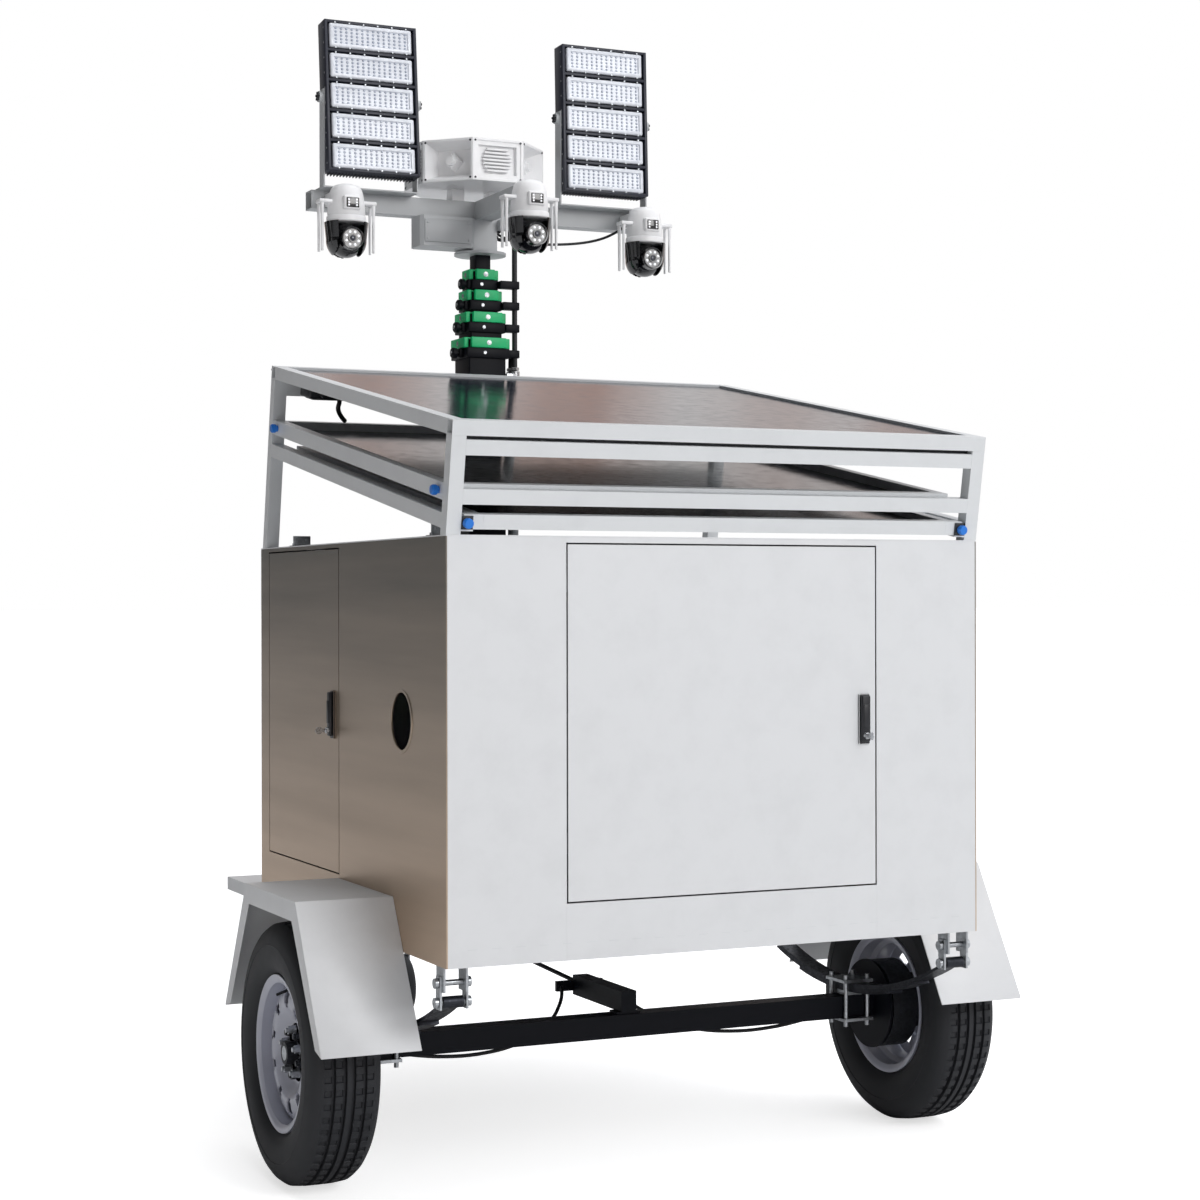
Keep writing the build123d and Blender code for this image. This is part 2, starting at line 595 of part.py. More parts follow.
BRAKE_CABLE = (
    (58.0, -6.0, LINK_Z - TYRE_RADIUS),
    (84.0, -66.0, 38.0),
    (132.0, -122.0, -2.0),
    (205.0, -160.0, -38.0),
    (300.0, -186.0, -60.0),
    (410.0, -204.0, -66.0),
    (515.0, -214.0, -58.0),
    (612.0, -221.0, -40.0),
    (690.0, -226.0, -19.0),
    (BEAM_END - 1, -229.0, -6.0),
)  # outwards, forwards from the equaliser bar, and up from the axle's centre

with BuildPart() as brake_cables:
    for side in (-1, 1):
        route = [(side * x, AXLE_Y + 290 + y, TYRE_RADIUS + z) for x, y, z in BRAKE_CABLE]
        radii = cord_radii(route)
        if side > 0:
            print("brake cable radii", [round(radius) for radius in radii])
        with BuildLine(mode=Mode.PRIVATE):
            path = FilletPolyline(*route, radius=radii)
        with BuildSketch(Plane(origin=path @ 0, z_dir=path % 0)) as section:
            Circle(CABLE_RADIUS)
        sweep(section.sketch, path=path)
cable_volume = 2 * 3.14159265 * CABLE_RADIUS**2 * path.length
print("brake cable volume", round(brake_cables.part.volume), "expected", round(cable_volume))
finish(brake_cables.part, "brake_cables")

# ---------------------------------------------------------------- wheels
TYRE_EDGE = (
    (69.5, 178.3),
    (69.5, 196.5),
    (84.0, 208.0),
    (TYRE_WIDTH / 2, 250.0),
    (88.0, 292.0),
    (76.0, 315.0),
    (60.0, TYRE_RADIUS),
)
TYRE_INSIDE = ((58.0, 178.3), (58.0, 204.0), (79.0, 250.0), (72.0, 296.0), (56.0, 310.0))
DISC_EDGE = (
    (28.2, 29.0),
    (34.0, 29.0),
    (34.0, 82.0),
    (54.0, 112.0),
    (54.0, 150.0),
    (40.0, 172.5),
    (33.0, 172.5),
    (46.0, 147.0),
    (46.0, 114.0),
    (28.2, 84.0),
)


def wheel_section(side):
    """A sketch plane through the wheel's axis: X outboard from its centre, Y the radius."""
    centre = (side * WHEEL_X, AXLE_Y, TYRE_RADIUS)
    return Plane(origin=centre, x_dir=(side, 0, 0), z_dir=(0, -side, 0))


def around_axle(sketch):
    revolve(sketch, axis=Axis((0, AXLE_Y, TYRE_RADIUS), (1, 0, 0)))


for name, side in (("left", -1), ("right", 1)):
    across = wheel_section(side)
    with BuildPart() as tyre:
        with BuildSketch(across) as shape:
            with BuildLine():
                mirrored = [(-x, y) for x, y in reversed(TYRE_EDGE)]
                back = [(-x, y) for x, y in TYRE_INSIDE]
                inner = list(reversed(TYRE_INSIDE))
                Polyline(*TYRE_EDGE, *mirrored, *back, *inner, close=True)
            make_face()
            with Locations((-30, TYRE_RADIUS), (0, TYRE_RADIUS), (30, TYRE_RADIUS)):
                Rectangle(8, 14, mode=Mode.SUBTRACT)
        around_axle(shape.sketch)
    finish(tyre.part, f"{name}_tyre")

    with BuildPart() as rim:
        with BuildSketch(across) as shape:
            with BuildLine():
                Polyline(*DISC_EDGE, close=True)
            make_face()
            with Locations((0, RIM_SEAT - 3)):
                Rectangle(2 * RIM_HALF + 12, 6)
            for flange in (-1, 1):
                with Locations((flange * (RIM_HALF + 3), (RIM_FLANGE + RIM_SEAT - 6) / 2)):
                    Rectangle(6, RIM_FLANGE - RIM_SEAT + 6)
        around_axle(shape.sketch)
        face = Plane(origin=(side * (WHEEL_X + 20), AXLE_Y, TYRE_RADIUS), z_dir=(side, 0, 0))
        with BuildSketch(face) as holes:
            with PolarLocations(131, 10):
                Circle(14)
            with PolarLocations(STUD_CIRCLE, 5):
                Circle(STUD_RADIUS + 0.5)
        extrude(holes.sketch, amount=40, mode=Mode.SUBTRACT)
    finish(rim.part, f"{name}_rim")

    with BuildPart() as hub:
        bore = STUB_RADIUS + RUNNING
        with BuildSketch(across) as shape:
            for a, r in (
                ((-115, -45), (DRUM_RADIUS - 8, DRUM_RADIUS)),
                ((-45, -37), (bore, DRUM_RADIUS)),
                ((-60, 28), (bore, 45)),
                ((18, 28), (bore, 75)),
            ):
                with Locations(((a[0] + a[1]) / 2, (r[0] + r[1]) / 2)):
                    Rectangle(a[1] - a[0], r[1] - r[0])
        around_axle(shape.sketch)
        with BuildSketch(across) as cap:
            with Locations((28.2 + 17, 14)):
                Rectangle(34, 28)
        around_axle(cap.sketch)
        stud_face = Plane(
            origin=(side * (WHEEL_X + 28.2), AXLE_Y, TYRE_RADIUS), z_dir=(side, 0, 0)
        )
        with BuildSketch(stud_face) as studs:
            with PolarLocations(STUD_CIRCLE, 5):
                Circle(STUD_RADIUS)
        extrude(studs.sketch, amount=22)
        with BuildSketch(stud_face.offset(6)) as nuts:
            with PolarLocations(STUD_CIRCLE, 5):
                RegularPolygon(11, 6)
        extrude(nuts.sketch, amount=11)
    finish(hub.part, f"{name}_hub")

# ---------------------------------------------------------------- solar cage and panels
ALONG = (CAGE_TUBE + SEAM, CAGE_LENGTH - CAGE_TUBE - SEAM)  # between the end rails
ACROSS = (CAGE_TUBE + SEAM, CABINET_WIDTH - CAGE_TUBE - SEAM)  # between the side rails
TOP_RAIL = CAGE_RISE - CAGE_TUBE
ENDS = ((0.0, CAGE_TUBE), (CAGE_LENGTH - CAGE_TUBE, CAGE_LENGTH))
SIDES = ((0.0, CAGE_TUBE), (CABINET_WIDTH - CAGE_TUBE, CABINET_WIDTH))

with BuildPart(SLOPED) as solar_cage:
    for end in ENDS:
        tube_along("x", (0, CABINET_WIDTH), end, (TOP_RAIL, CAGE_RISE), CAGE_WALL)
        for level in (THIRD_RAIL, SECOND_RAIL):
            tube_along("x", ACROSS, end, (level, level + CAGE_TUBE), CAGE_WALL)
        for side in SIDES:
            foot = -end[1] * tan(radians(SLOPE)) - 1
            tube_along("z", side, end, (foot, TOP_RAIL - SEAM), CAGE_WALL)
    for side in SIDES:
        tube_along("y", side, ALONG, (TOP_RAIL, CAGE_RISE), CAGE_WALL)
        tube_along("y", side, ALONG, (LOWER_RAIL, LOWER_RAIL + CAGE_TUBE), CAGE_WALL)
        inner = CAGE_TUBE + SEAM
        ledge = (inner, inner + 30) if side[0] == 0 else tuple(
            sorted((CABINET_WIDTH - inner, CABINET_WIDTH - inner - 30))
        )
        ledge_top = REAR_DRAWER[0] - SIDE_PLAY
        block(ledge, (ALONG[0] - 36, ALONG[1] - 36), (ledge_top - RUNNER, ledge_top))
    for end in (-1, 1):
        near = ALONG[0] if end < 0 else ALONG[1]
        ledge_y = tuple(sorted((near, near - end * 22)))
        ledge_top = LEFT_DRAWER[0] - SIDE_PLAY
        block((CAGE_TUBE, ACROSS[1]), ledge_y, (ledge_top - RUNNER, ledge_top))
    box_top = CAGE_RISE - PANEL_DROP - SEAM
    block((900, 1010), (1200, 1290), (box_top - 30, box_top))
    below_roof = Plane(origin=(0, (REAR + FRONT) / 2, ROOF + SEAM), z_dir=(0, 0, -1))
    with BuildSketch(below_roof) as roof_cut:
        Rectangle(2 * CABINET_WIDTH, 2 * CABINET_LENGTH)
    extrude(roof_cut.sketch, amount=2 * CAGE_TUBE, mode=Mode.SUBTRACT)
finish(solar_cage.part, "solar_cage")

with BuildPart(SLOPED) as top_panel:
    block(
        (CAGE_TUBE + SEAM, CABINET_WIDTH - CAGE_TUBE - SEAM),
        (CAGE_TUBE + SEAM, CAGE_LENGTH - CAGE_TUBE - SEAM),
        (CAGE_RISE - PANEL_DROP, CAGE_RISE - PANEL_DROP + PANEL_GLASS),
    )
finish(top_panel.part, "top_panel")

LEFT_SPAN = ((DRAWER_REACH, CABINET_WIDTH - 74), (ALONG[0] + SIDE_PLAY, ALONG[1] - SIDE_PLAY))
REAR_SPAN = ((62.0, CABINET_WIDTH - 62.0), (DRAWER_REACH, CAGE_LENGTH - 74))


def drawer_frame(span, level):
    """Four bars round a sheet of solar cells, left apart at their mitres by a seam."""
    (x0, x1), (y0, y1) = span
    bar = DRAWER_BAR
    block((x0, x0 + bar), (y0, y1), level)
    block((x1 - bar, x1), (y0, y1), level)
    block((x0 + bar + SEAM, x1 - bar - SEAM), (y0, y0 + bar), level)
    block((x0 + bar + SEAM, x1 - bar - SEAM), (y1 - bar, y1), level)


def drawer_glass(span, level):
    (x0, x1), (y0, y1) = span
    edge = DRAWER_BAR + SEAM
    low = level[0] + 12
    block((x0 + edge, x1 - edge), (y0 + edge, y1 - edge), (low, low + PANEL_GLASS))


KNOB_RADIUS = 12.0
PLUNGER = 4.0


def plunger_hole(place, direction):
    """A bore through the drawer's bar, in the sloped frame."""
    axis = Plane(origin=place, z_dir=direction)
    with BuildSketch(SLOPED * axis) as bore:
        Circle(PLUNGER + RUNNING)
    extrude(bore.sketch, amount=DRAWER_BAR + 2, both=True, mode=Mode.SUBTRACT)


def plunger_knob(place, direction):
    """A pull knob on its plunger: the knob stands outside the bar, the pin runs inside it."""
    axis = Plane(origin=place, z_dir=direction)
    with BuildSketch(SLOPED * axis.offset(SIDE_PLAY)) as grip:
        Circle(KNOB_RADIUS)
    extrude(grip.sketch, amount=20)
    with BuildSketch(SLOPED * axis.offset(SIDE_PLAY)) as pin:
        Circle(PLUNGER)
    extrude(pin.sketch, amount=-(DRAWER_BAR - 4))


LEFT_KNOBS = (("rear", LEFT_SPAN[1][0] + 36), ("front", LEFT_SPAN[1][1] - 36))
LEFT_KNOB_LEVEL = (LEFT_DRAWER[0] + LEFT_DRAWER[1]) / 2
REAR_KNOBS = (("left", REAR_SPAN[0][0] - 12), ("right", REAR_SPAN[0][1] + 12))
REAR_KNOB_LEVEL = (REAR_DRAWER[0] + REAR_DRAWER[1]) / 2
EAR = 18.0  # half the width of the plate that holds a rear knob

with BuildPart(SLOPED) as left_drawer_frame:
    drawer_frame(LEFT_SPAN, LEFT_DRAWER)
    for end, along in LEFT_KNOBS:
        plunger_hole((LEFT_SPAN[0][0], along, LEFT_KNOB_LEVEL), (-1, 0, 0))
finish(left_drawer_frame.part, "left_drawer_frame")

with BuildPart(SLOPED) as left_drawer_panel:
    drawer_glass(LEFT_SPAN, LEFT_DRAWER)
finish(left_drawer_panel.part, "left_drawer_panel")

with BuildPart(SLOPED) as rear_drawer_frame:
    drawer_frame(REAR_SPAN, REAR_DRAWER)
    for end, across_at in REAR_KNOBS:
        near = REAR_SPAN[0][0] - SEAM if end == "left" else REAR_SPAN[0][1] + SEAM
        far = near - EAR if end == "left" else near + EAR
        ear_y = (REAR_SPAN[1][0], REAR_SPAN[1][0] + DRAWER_BAR)
        block(tuple(sorted((near, far))), ear_y, REAR_DRAWER)
        plunger_hole((across_at, REAR_SPAN[1][0], REAR_KNOB_LEVEL), (0, -1, 0))
finish(rear_drawer_frame.part, "rear_drawer_frame")

with BuildPart(SLOPED) as rear_drawer_panel:
    drawer_glass(REAR_SPAN, REAR_DRAWER)
finish(rear_drawer_panel.part, "rear_drawer_panel")

for end, along in LEFT_KNOBS:
    with BuildPart() as knob:
        plunger_knob((LEFT_SPAN[0][0], along, LEFT_KNOB_LEVEL), (-1, 0, 0))
    finish(knob.part, f"left_drawer_knob_{end}")
for end, across_at in REAR_KNOBS:
    with BuildPart() as knob:
        plunger_knob((across_at, REAR_SPAN[1][0], REAR_KNOB_LEVEL), (0, -1, 0))
    finish(knob.part, f"rear_drawer_knob_{end}")

# ---------------------------------------------------------------- mast
FOOT = 220.0
CONDUIT = (92.0, -38.0)  # from the mast's axis
CONDUIT_RADIUS = 11.0
CONDUIT_TOP = 2190.0
CABLE = 8.0


def square(x, y, half, z, mode=Mode.ADD):
    block((x - half, x + half), (y - half, y + half), z, mode=mode)


def mast_tube(number, top):
    half = MAST_TUBES[number] / 2
    tube_along("z", (-half, half), (MAST_Y - half, MAST_Y + half), (TUBE_FEET[number], top), MAST_WALL)
    if number:
        shoe = MAST_TUBES[number - 1] / 2 - MAST_WALL - SIDE_PLAY
        foot = (TUBE_FEET[number], TUBE_FEET[number] + 20)
        square(0, MAST_Y, shoe, foot)
        square(0, MAST_Y, half - MAST_WALL, foot, mode=Mode.SUBTRACT)


def mast_collar(number):
    """Green guide band, black clamp band and locking knob round the top of a tube."""
    half = MAST_TUBES[number] / 2 + SEAM
    inner = MAST_TUBES[number + 1] / 2 + SIDE_PLAY
    low = COLLAR_LOW[number]
    lid = low + COLLAR_TALL - 6
    square(0, MAST_Y, half + COLLAR_PROUD, (low, low + COLLAR_TALL))
    square(0, MAST_Y, half, (low, lid), mode=Mode.SUBTRACT)
    square(0, MAST_Y, inner, (lid, low + COLLAR_TALL), mode=Mode.SUBTRACT)
    clamp = (low - SEAM - CLAMP_TALL, low - SEAM)
    outer = half + CLAMP_PROUD
    for x, y in ((-1, 0), (1, 0), (0, -1), (0, 1)):
        if x:
            near, far = sorted((x * half, x * outer))
            block((near, far), (MAST_Y - outer, MAST_Y + outer), clamp)
        else:
            near, far = sorted((MAST_Y + y * half, MAST_Y + y * outer))
            block((-half + SEAM, half - SEAM), (near, far), clamp)
    middle = low - CLAMP_TALL / 2
    rod((-outer - SEAM, MAST_Y - 20, middle), (-outer - 24, MAST_Y - 20, middle), 13)


with BuildPart() as mast_base:
    square(0, MAST_Y, FOOT / 2, (DECK_TOP + SEAM, DECK_TOP + 12))
    mast_tube(0, COLLAR_LOW[0] + COLLAR_TALL - 6 - SEAM)
    mast_collar(0)
    for shift in (0, -28):
        x, y = CONDUIT[0], MAST_Y + CONDUIT[1] + 14 + shift
        rod((x, y, DECK_TOP + SEAM), (x, y, CONDUIT_TOP), CONDUIT_RADIUS)
    for level in (1100, 1700, 2120):
        clip_x = (MAST_TUBES[0] / 2 + SEAM, CONDUIT[0] - CONDUIT_RADIUS - SEAM)
        block(clip_x, (MAST_Y - 56, MAST_Y - 6), (level, level + 24))
finish(mast_base.part, "mast_base")

for number in (1, 2, 3):
    with BuildPart() as section:
        mast_tube(number, COLLAR_LOW[number] + COLLAR_TALL - 6 - SEAM)
        mast_collar(number)
    finish(section.part, f"mast_section_{number + 1}")

with BuildPart() as mast_section_5:
    mast_tube(4, FLANGE_Z - SEAM)
finish(mast_section_5.part, "mast_section_5")

CABLE_AT = (CONDUIT[0], MAST_Y + CONDUIT[1] - 14)
with BuildPart() as mast_cable:
    rod((*CABLE_AT, CONDUIT_TOP + SEAM), (*CABLE_AT, ARM_Z - 30), CABLE)
finish(mast_cable.part, "mast_cable")

# ---------------------------------------------------------------- mast head
HALF_ARM = ARM / 2
CAMERA_BODY = (45.0, 45.0)
BODY_LOW = BALL_RADIUS + 20.0  # white body's underside, above the ball's centre
BODY_TOP = 163.0
WHIP_OUT = 78.0  # clear of the lens as it pans
WHIP_TOP = 104.0
BRACKET = 4.0
LAMP_PIN = 6.0

with BuildPart() as head_frame:
    rod((0, MAST_Y, FLANGE_Z), (0, MAST_Y, FLANGE_Z + 8), FLANGE_RADIUS)
    square(0, MAST_Y, HEAD_COLUMN / 2, (FLANGE_Z + 8 + SEAM, ARM_Z - SEAM))
    arm_z = (ARM_Z, ARM_Z + ARM)
    tube_along("x", (-ARM_LEFT, ARM_RIGHT), (MAST_Y - HALF_ARM, MAST_Y + HALF_ARM), arm_z, FRAME_WALL)
    rear_y = (MAST_Y - ARM_REAR, MAST_Y - HALF_ARM - SEAM)
    tube_along("y", (-HALF_ARM, HALF_ARM), rear_y, arm_z, FRAME_WALL)
    gland = (CABLE_AT[0], CABLE_AT[1])
    block(
        (HEAD_COLUMN / 2 + SEAM, gland[0] + 14),
        (gland[1] - 14, gland[1] + 14),
        (ARM_Z - 30 + SEAM, ARM_Z - SEAM),
    )
    for place, tilt in LAMPS:
        outer = LAMP_WIDTH / 2 + SIDE_PLAY
        lamp_y = REAR + LAMP_Y
        foot_z = (ARM_Z + ARM + SEAM, ARM_Z + ARM + SEAM + BRACKET)
        foot_x = (place - outer - BRACKET, place + outer + BRACKET)
        block(foot_x, (lamp_y - 20, MAST_Y + 20), foot_z)
        for side in (-1, 1):
            cheek = tuple(sorted((place + side * outer, place + side * (outer + BRACKET))))
            block(cheek, (lamp_y - 20, lamp_y + 20), (foot_z[1] + SEAM, LAMP_PIVOT_Z + 22))
            pin = (place + side * (outer + BRACKET), lamp_y, LAMP_PIVOT_Z)
            rod(pin, (place + side * (outer - 12), lamp_y, LAMP_PIVOT_Z), LAMP_PIN)
            rod(pin, (pin[0] + side * 10, lamp_y, LAMP_PIVOT_Z), 16)
finish(head_frame.part, "head_frame")

with BuildPart() as head_box:
    block((-215, -HEAD_COLUMN / 2 - SEAM), (MAST_Y - 62, MAST_Y + 30), (ARM_Z - 92, ARM_Z - SEAM))
    chamfer(head_box.edges().filter_by(Axis.Z), 10)
finish(head_box.part, "head_box")

with BuildPart() as speaker:
    with BuildSketch(Plane(origin=(SPEAKER_X, MAST_Y, SPEAKER_Z[0]))) as octagon:
        RegularPolygon(SPEAKER_FLATS / 2, 8, major_radius=False, rotation=22.5)
    extrude(octagon.sketch, amount=SPEAKER_Z[1] - SPEAKER_Z[0])
    for turn in range(8):
        facing = Plane(origin=(SPEAKER_X, MAST_Y, sum(SPEAKER_Z) / 2)).rotated((0, 0, 45 * turn))
        outward = facing.x_dir
        mouth = Plane(
            origin=facing.origin + outward * (SPEAKER_FLATS / 2),
            x_dir=facing.y_dir,
            z_dir=outward,
        )
        with BuildSketch(mouth) as opening:
            if turn % 2:
                Rectangle(112, 84)
            else:
                with GridLocations(0, 16, 1, 5):
                    Rectangle(104, 7)
        extrude(opening.sketch, amount=-12, mode=Mode.SUBTRACT)
    for x in (-1, 1):
        near = SPEAKER_X + x * 60
        foot_z = (ARM_Z + ARM + SEAM, SPEAKER_Z[0] - SEAM)
        block((near - 20, near + 20), (MAST_Y - HALF_ARM, MAST_Y + HALF_ARM), foot_z)
finish(speaker.part, "speaker")

with BuildPart() as camera_mounts:
    for x, y, z in CAMERAS:
        centre_y = REAR + y
        back = centre_y + CAMERA_BODY[1]
        arm_end = MAST_Y - HALF_ARM if x else MAST_Y - ARM_REAR
        body_z = (z + BODY_LOW, z + BODY_TOP)
        block((x - 45, x + 45), (centre_y - 45, back), body_z)
        block((x - 26, x + 26), (back + SEAM, back + 5), (ARM_Z - 10, ARM_Z + 50))
        block((x - 26, x + 26), (back + 5, arm_end - SEAM), (ARM_Z + 4, ARM_Z + 44))
        for side in (-1, 1):
            for along in (-16, 16):
                whip = (x + side * WHIP_OUT, centre_y + along)
                rod((*whip, z - 35), (*whip, z + WHIP_TOP), 4)
            ear = tuple(sorted((x + side * (45 + SEAM), x + side * (WHIP_OUT + 8))))
            block(ear, (centre_y - 22, centre_y + 22), (z + WHIP_TOP + SEAM, z + WHIP_TOP + 12))
finish(camera_mounts.part, "camera_mounts")

for number, (x, y, z) in enumerate(CAMERAS, start=1):
    centre = (x, REAR + y, z)
    cheek_in = BALL_RADIUS + SIDE_PLAY
    with BuildPart() as yoke:
        rod((x, centre[1], z + BALL_RADIUS + 1), (x, centre[1], z + BODY_LOW - SIDE_PLAY), 58)
        for side in (-1, 1):
            cheek = tuple(sorted((x + side * cheek_in, x + side * (cheek_in + 6))))
            block(cheek, (centre[1] - 18, centre[1] + 18), (z - 20, z + BALL_RADIUS + 1))
        bore = (x - 70, centre[1], z)
        rod(bore, (x + 70, centre[1], z), 5 + RUNNING, mode=Mode.SUBTRACT)
    finish(yoke.part, f"camera_{number}_yoke")
    with BuildPart() as ball:
        with Locations(centre):
            Sphere(BALL_RADIUS)
        block((x - 32, x + 32), (centre[1] - 62, centre[1] - 30), (z - 30, z + 30))
        rod((x - cheek_in - 6, centre[1], z), (x + cheek_in + 6, centre[1], z), 5)
    finish(ball.part, f"camera_{number}_ball")

for name, (place, tilt) in zip(("left", "right"), LAMPS):
    pivot = (place, REAR + LAMP_Y, LAMP_PIVOT_Z)
    leaning = Plane(
        origin=pivot, x_dir=(1, 0, 0), z_dir=(0, sin(radians(tilt)), cos(radians(tilt)))
    )
    half_w = LAMP_WIDTH / 2
    half_h = LAMP_HEIGHT / 2
    with BuildPart(leaning) as lamp:
        block((-half_w, half_w), (-24, 14), (-half_h, half_h))
        for fin in range(12):
            fin_x = -half_w + 12 + fin * (LAMP_WIDTH - 24) / 11
            block((fin_x - 2, fin_x + 2), (14, LAMP_DEPTH / 2), (-half_h + 10, half_h - 10))
        pitch = LAMP_HEIGHT / 5
        for module in range(5):
            middle = -half_h + (module + 0.5) * pitch
            lens_z = (middle - 40, middle + 40)
            block((-half_w + 8, half_w - 8), (-LAMP_DEPTH / 2, -24 - SEAM), lens_z)
        with Locations((-half_w, 0, 0), (half_w, 0, 0)):
            Cylinder(LAMP_PIN + RUNNING, 30, rotation=(0, 90, 0), mode=Mode.SUBTRACT)
    finish(lamp.part, f"{name}_lamp")

# ---------------------------------------------------------------- jockey wheel
JOCKEY = (JOCKEY_X, REAR + JOCKEY_PLACE)
SPINDLE = 8.0


def jockey_rod(z, radius, mode=Mode.ADD):
    rod((*JOCKEY, z[0]), (*JOCKEY, z[1]), radius, mode=mode)


with BuildPart() as jockey_tube:
    jockey_rod(JOCKEY_OUTER, JOCKEY_TUBE[1])
    jockey_rod(JOCKEY_OUTER, JOCKEY_TUBE[0] + RUNNING, mode=Mode.SUBTRACT)
    jockey_rod((JOCKEY_OUTER[1] + SEAM, JOCKEY_OUTER[1] + 8), JOCKEY_TUBE[1])
    jockey_rod((JOCKEY_OUTER[1], JOCKEY_OUTER[1] + 8), SPINDLE + RUNNING, mode=Mode.SUBTRACT)
    clamp_z = (COUPLING_Z - 26, COUPLING_Z + 26)
    clamp_x = (DRAWBAR_WIDTH / 2 + SEAM, JOCKEY_X - JOCKEY_TUBE[1] - SEAM)
    block(clamp_x, (JOCKEY[1] - 34, JOCKEY[1] + 34), clamp_z)
    for side in (-1, 1):
        edge = JOCKEY[1] + side * (JOCKEY_TUBE[1] + SEAM)
        jaw_y = tuple(sorted((edge, edge + side * 8)))
        block((JOCKEY_X - JOCKEY_TUBE[1], JOCKEY_X + 12), jaw_y, clamp_z)
finish(jockey_tube.part, "jockey_tube")

with BuildPart() as jockey_fork:
    fork_top = 2 * JOCKEY_WHEEL + 12
    jockey_rod((fork_top, JOCKEY_OUTER[1] - 210), JOCKEY_TUBE[0])
    jockey_rod((fork_top, JOCKEY_OUTER[1] - 222), JOCKEY_TUBE[0] - 6, mode=Mode.SUBTRACT)
    jockey_rod((fork_top, JOCKEY_OUTER[1]), SPINDLE + SIDE_PLAY, mode=Mode.SUBTRACT)
    inner = JOCKEY_WIDTH / 2 + SIDE_PLAY
    block(
        (JOCKEY_X - inner - 5, JOCKEY_X + inner + 5),
        (JOCKEY[1] - 22, JOCKEY[1] + 22),
        (fork_top - 6, fork_top),
    )
    for side in (-1, 1):
        cheek = tuple(sorted((JOCKEY_X + side * inner, JOCKEY_X + side * (inner + 5))))
        block(cheek, (JOCKEY[1] - 22, JOCKEY[1] + 22), (JOCKEY_WHEEL - 20, fork_top - 6))
    pin_x = JOCKEY_X - inner - 5
    rod((pin_x, JOCKEY[1], JOCKEY_WHEEL), (JOCKEY_X + inner + 5, JOCKEY[1], JOCKEY_WHEEL), SPINDLE)
finish(jockey_fork.part, "jockey_fork")

with BuildPart() as jockey_wheel:
    near = (JOCKEY_X - JOCKEY_WIDTH / 2, JOCKEY[1], JOCKEY_WHEEL)
    far = (JOCKEY_X + JOCKEY_WIDTH / 2, JOCKEY[1], JOCKEY_WHEEL)
    rod(near, far, JOCKEY_WHEEL)
    rod(near, far, SPINDLE + RUNNING, mode=Mode.SUBTRACT)
    for side in (-1, 1):
        dish = (JOCKEY_X + side * (JOCKEY_WIDTH / 2 - 14), JOCKEY[1], JOCKEY_WHEEL)
        rim = (JOCKEY_X + side * JOCKEY_WIDTH / 2, JOCKEY[1], JOCKEY_WHEEL)
        rod(dish, rim, 66, mode=Mode.SUBTRACT)
        rod(dish, rim, 20)
    rod(near, far, SPINDLE + RUNNING, mode=Mode.SUBTRACT)
finish(jockey_wheel.part, "jockey_wheel")

with BuildPart() as jockey_crank:
    crank_z = JOCKEY_OUTER[1] + 30
    jockey_rod((JOCKEY_OUTER[0] + 40, crank_z), SPINDLE)
    block((JOCKEY_X - 12, JOCKEY_X + 130), (JOCKEY[1] - 12, JOCKEY[1] + 12), (crank_z, crank_z + 8))
    grip = (JOCKEY_X + 116, JOCKEY[1], crank_z + 8)
    rod(grip, (grip[0], grip[1], grip[2] + 60), 13)
finish(jockey_crank.part, "jockey_crank")

# ---------------------------------------------------------------- coupling and handbrake
DRAW_SHAFT = 25.0
HOUSING = 42.0
HOUSING_END = REAR + COUPLING_START + 200
GAITER_END = HOUSING_END + 96
HEAD_START = GAITER_END + 64
EAR_GAP = 12.0


def pivot_ears(y, low, z):
    """Two ears and the pin between them, for a lever 24 mm wide."""
    for side in (-1, 1):
        ear = tuple(sorted((side * (EAR_GAP + SIDE_PLAY), side * (EAR_GAP + SIDE_PLAY + 6))))
        block(ear, (y - 12, y + 12), (low, z + 12))
    reach = EAR_GAP + SIDE_PLAY + 6
    rod((-reach, y, z), (reach, y, z), 5)


def lever_bar(y, z, reach, tall):
    """A lever lying rearwards from its pivot, with a round grip."""
    block((-EAR_GAP, EAR_GAP), (y - reach, y + 10), (z - tall, z + tall))
    rod((-EAR_GAP - 1, y, z), (EAR_GAP + 1, y, z), 5 + RUNNING, mode=Mode.SUBTRACT)
    rod((0, y - reach, z), (0, y - reach - 110, z), 13)


BRAKE_PIVOT = (REAR + COUPLING_START + 120, COUPLING_Z + HOUSING + 34)
HEAD_PIVOT = (NOSE - 62, COUPLING_Z + 58)

with BuildPart() as coupling_housing:
    flange_y = REAR + COUPLING_START + SEAM
    block((-62, 62), (flange_y, flange_y + 12), (COUPLING_Z - 60, COUPLING_Z + 60))
    rod((0, flange_y + 12, COUPLING_Z), (0, HOUSING_END, COUPLING_Z), HOUSING)
    bore = (0, flange_y + 20, COUPLING_Z)
    rod(bore, (0, HOUSING_END + 1, COUPLING_Z), DRAW_SHAFT + RUNNING, mode=Mode.SUBTRACT)
    pivot_ears(BRAKE_PIVOT[0], COUPLING_Z + HOUSING - 6, BRAKE_PIVOT[1])
    ridge = (GAITER_END - HOUSING_END - SEAM) / 6
    gaiter_plane = Plane(origin=(0, HOUSING_END + SEAM, COUPLING_Z), x_dir=(0, 1, 0), z_dir=(-1, 0, 0))
    with BuildSketch(gaiter_plane) as bellows:
        with BuildLine():
            crests = []
            for fold in range(6):
                crests += [(fold * ridge, 34), ((fold + 0.5) * ridge, 44)]
            crests += [(6 * ridge, 34), (6 * ridge, DRAW_SHAFT + SIDE_PLAY)]
            Polyline(*crests, (0, DRAW_SHAFT + SIDE_PLAY), close=True)
        make_face()
    revolve(bellows.sketch, axis=Axis((0, 0, COUPLING_Z), (0, 1, 0)))
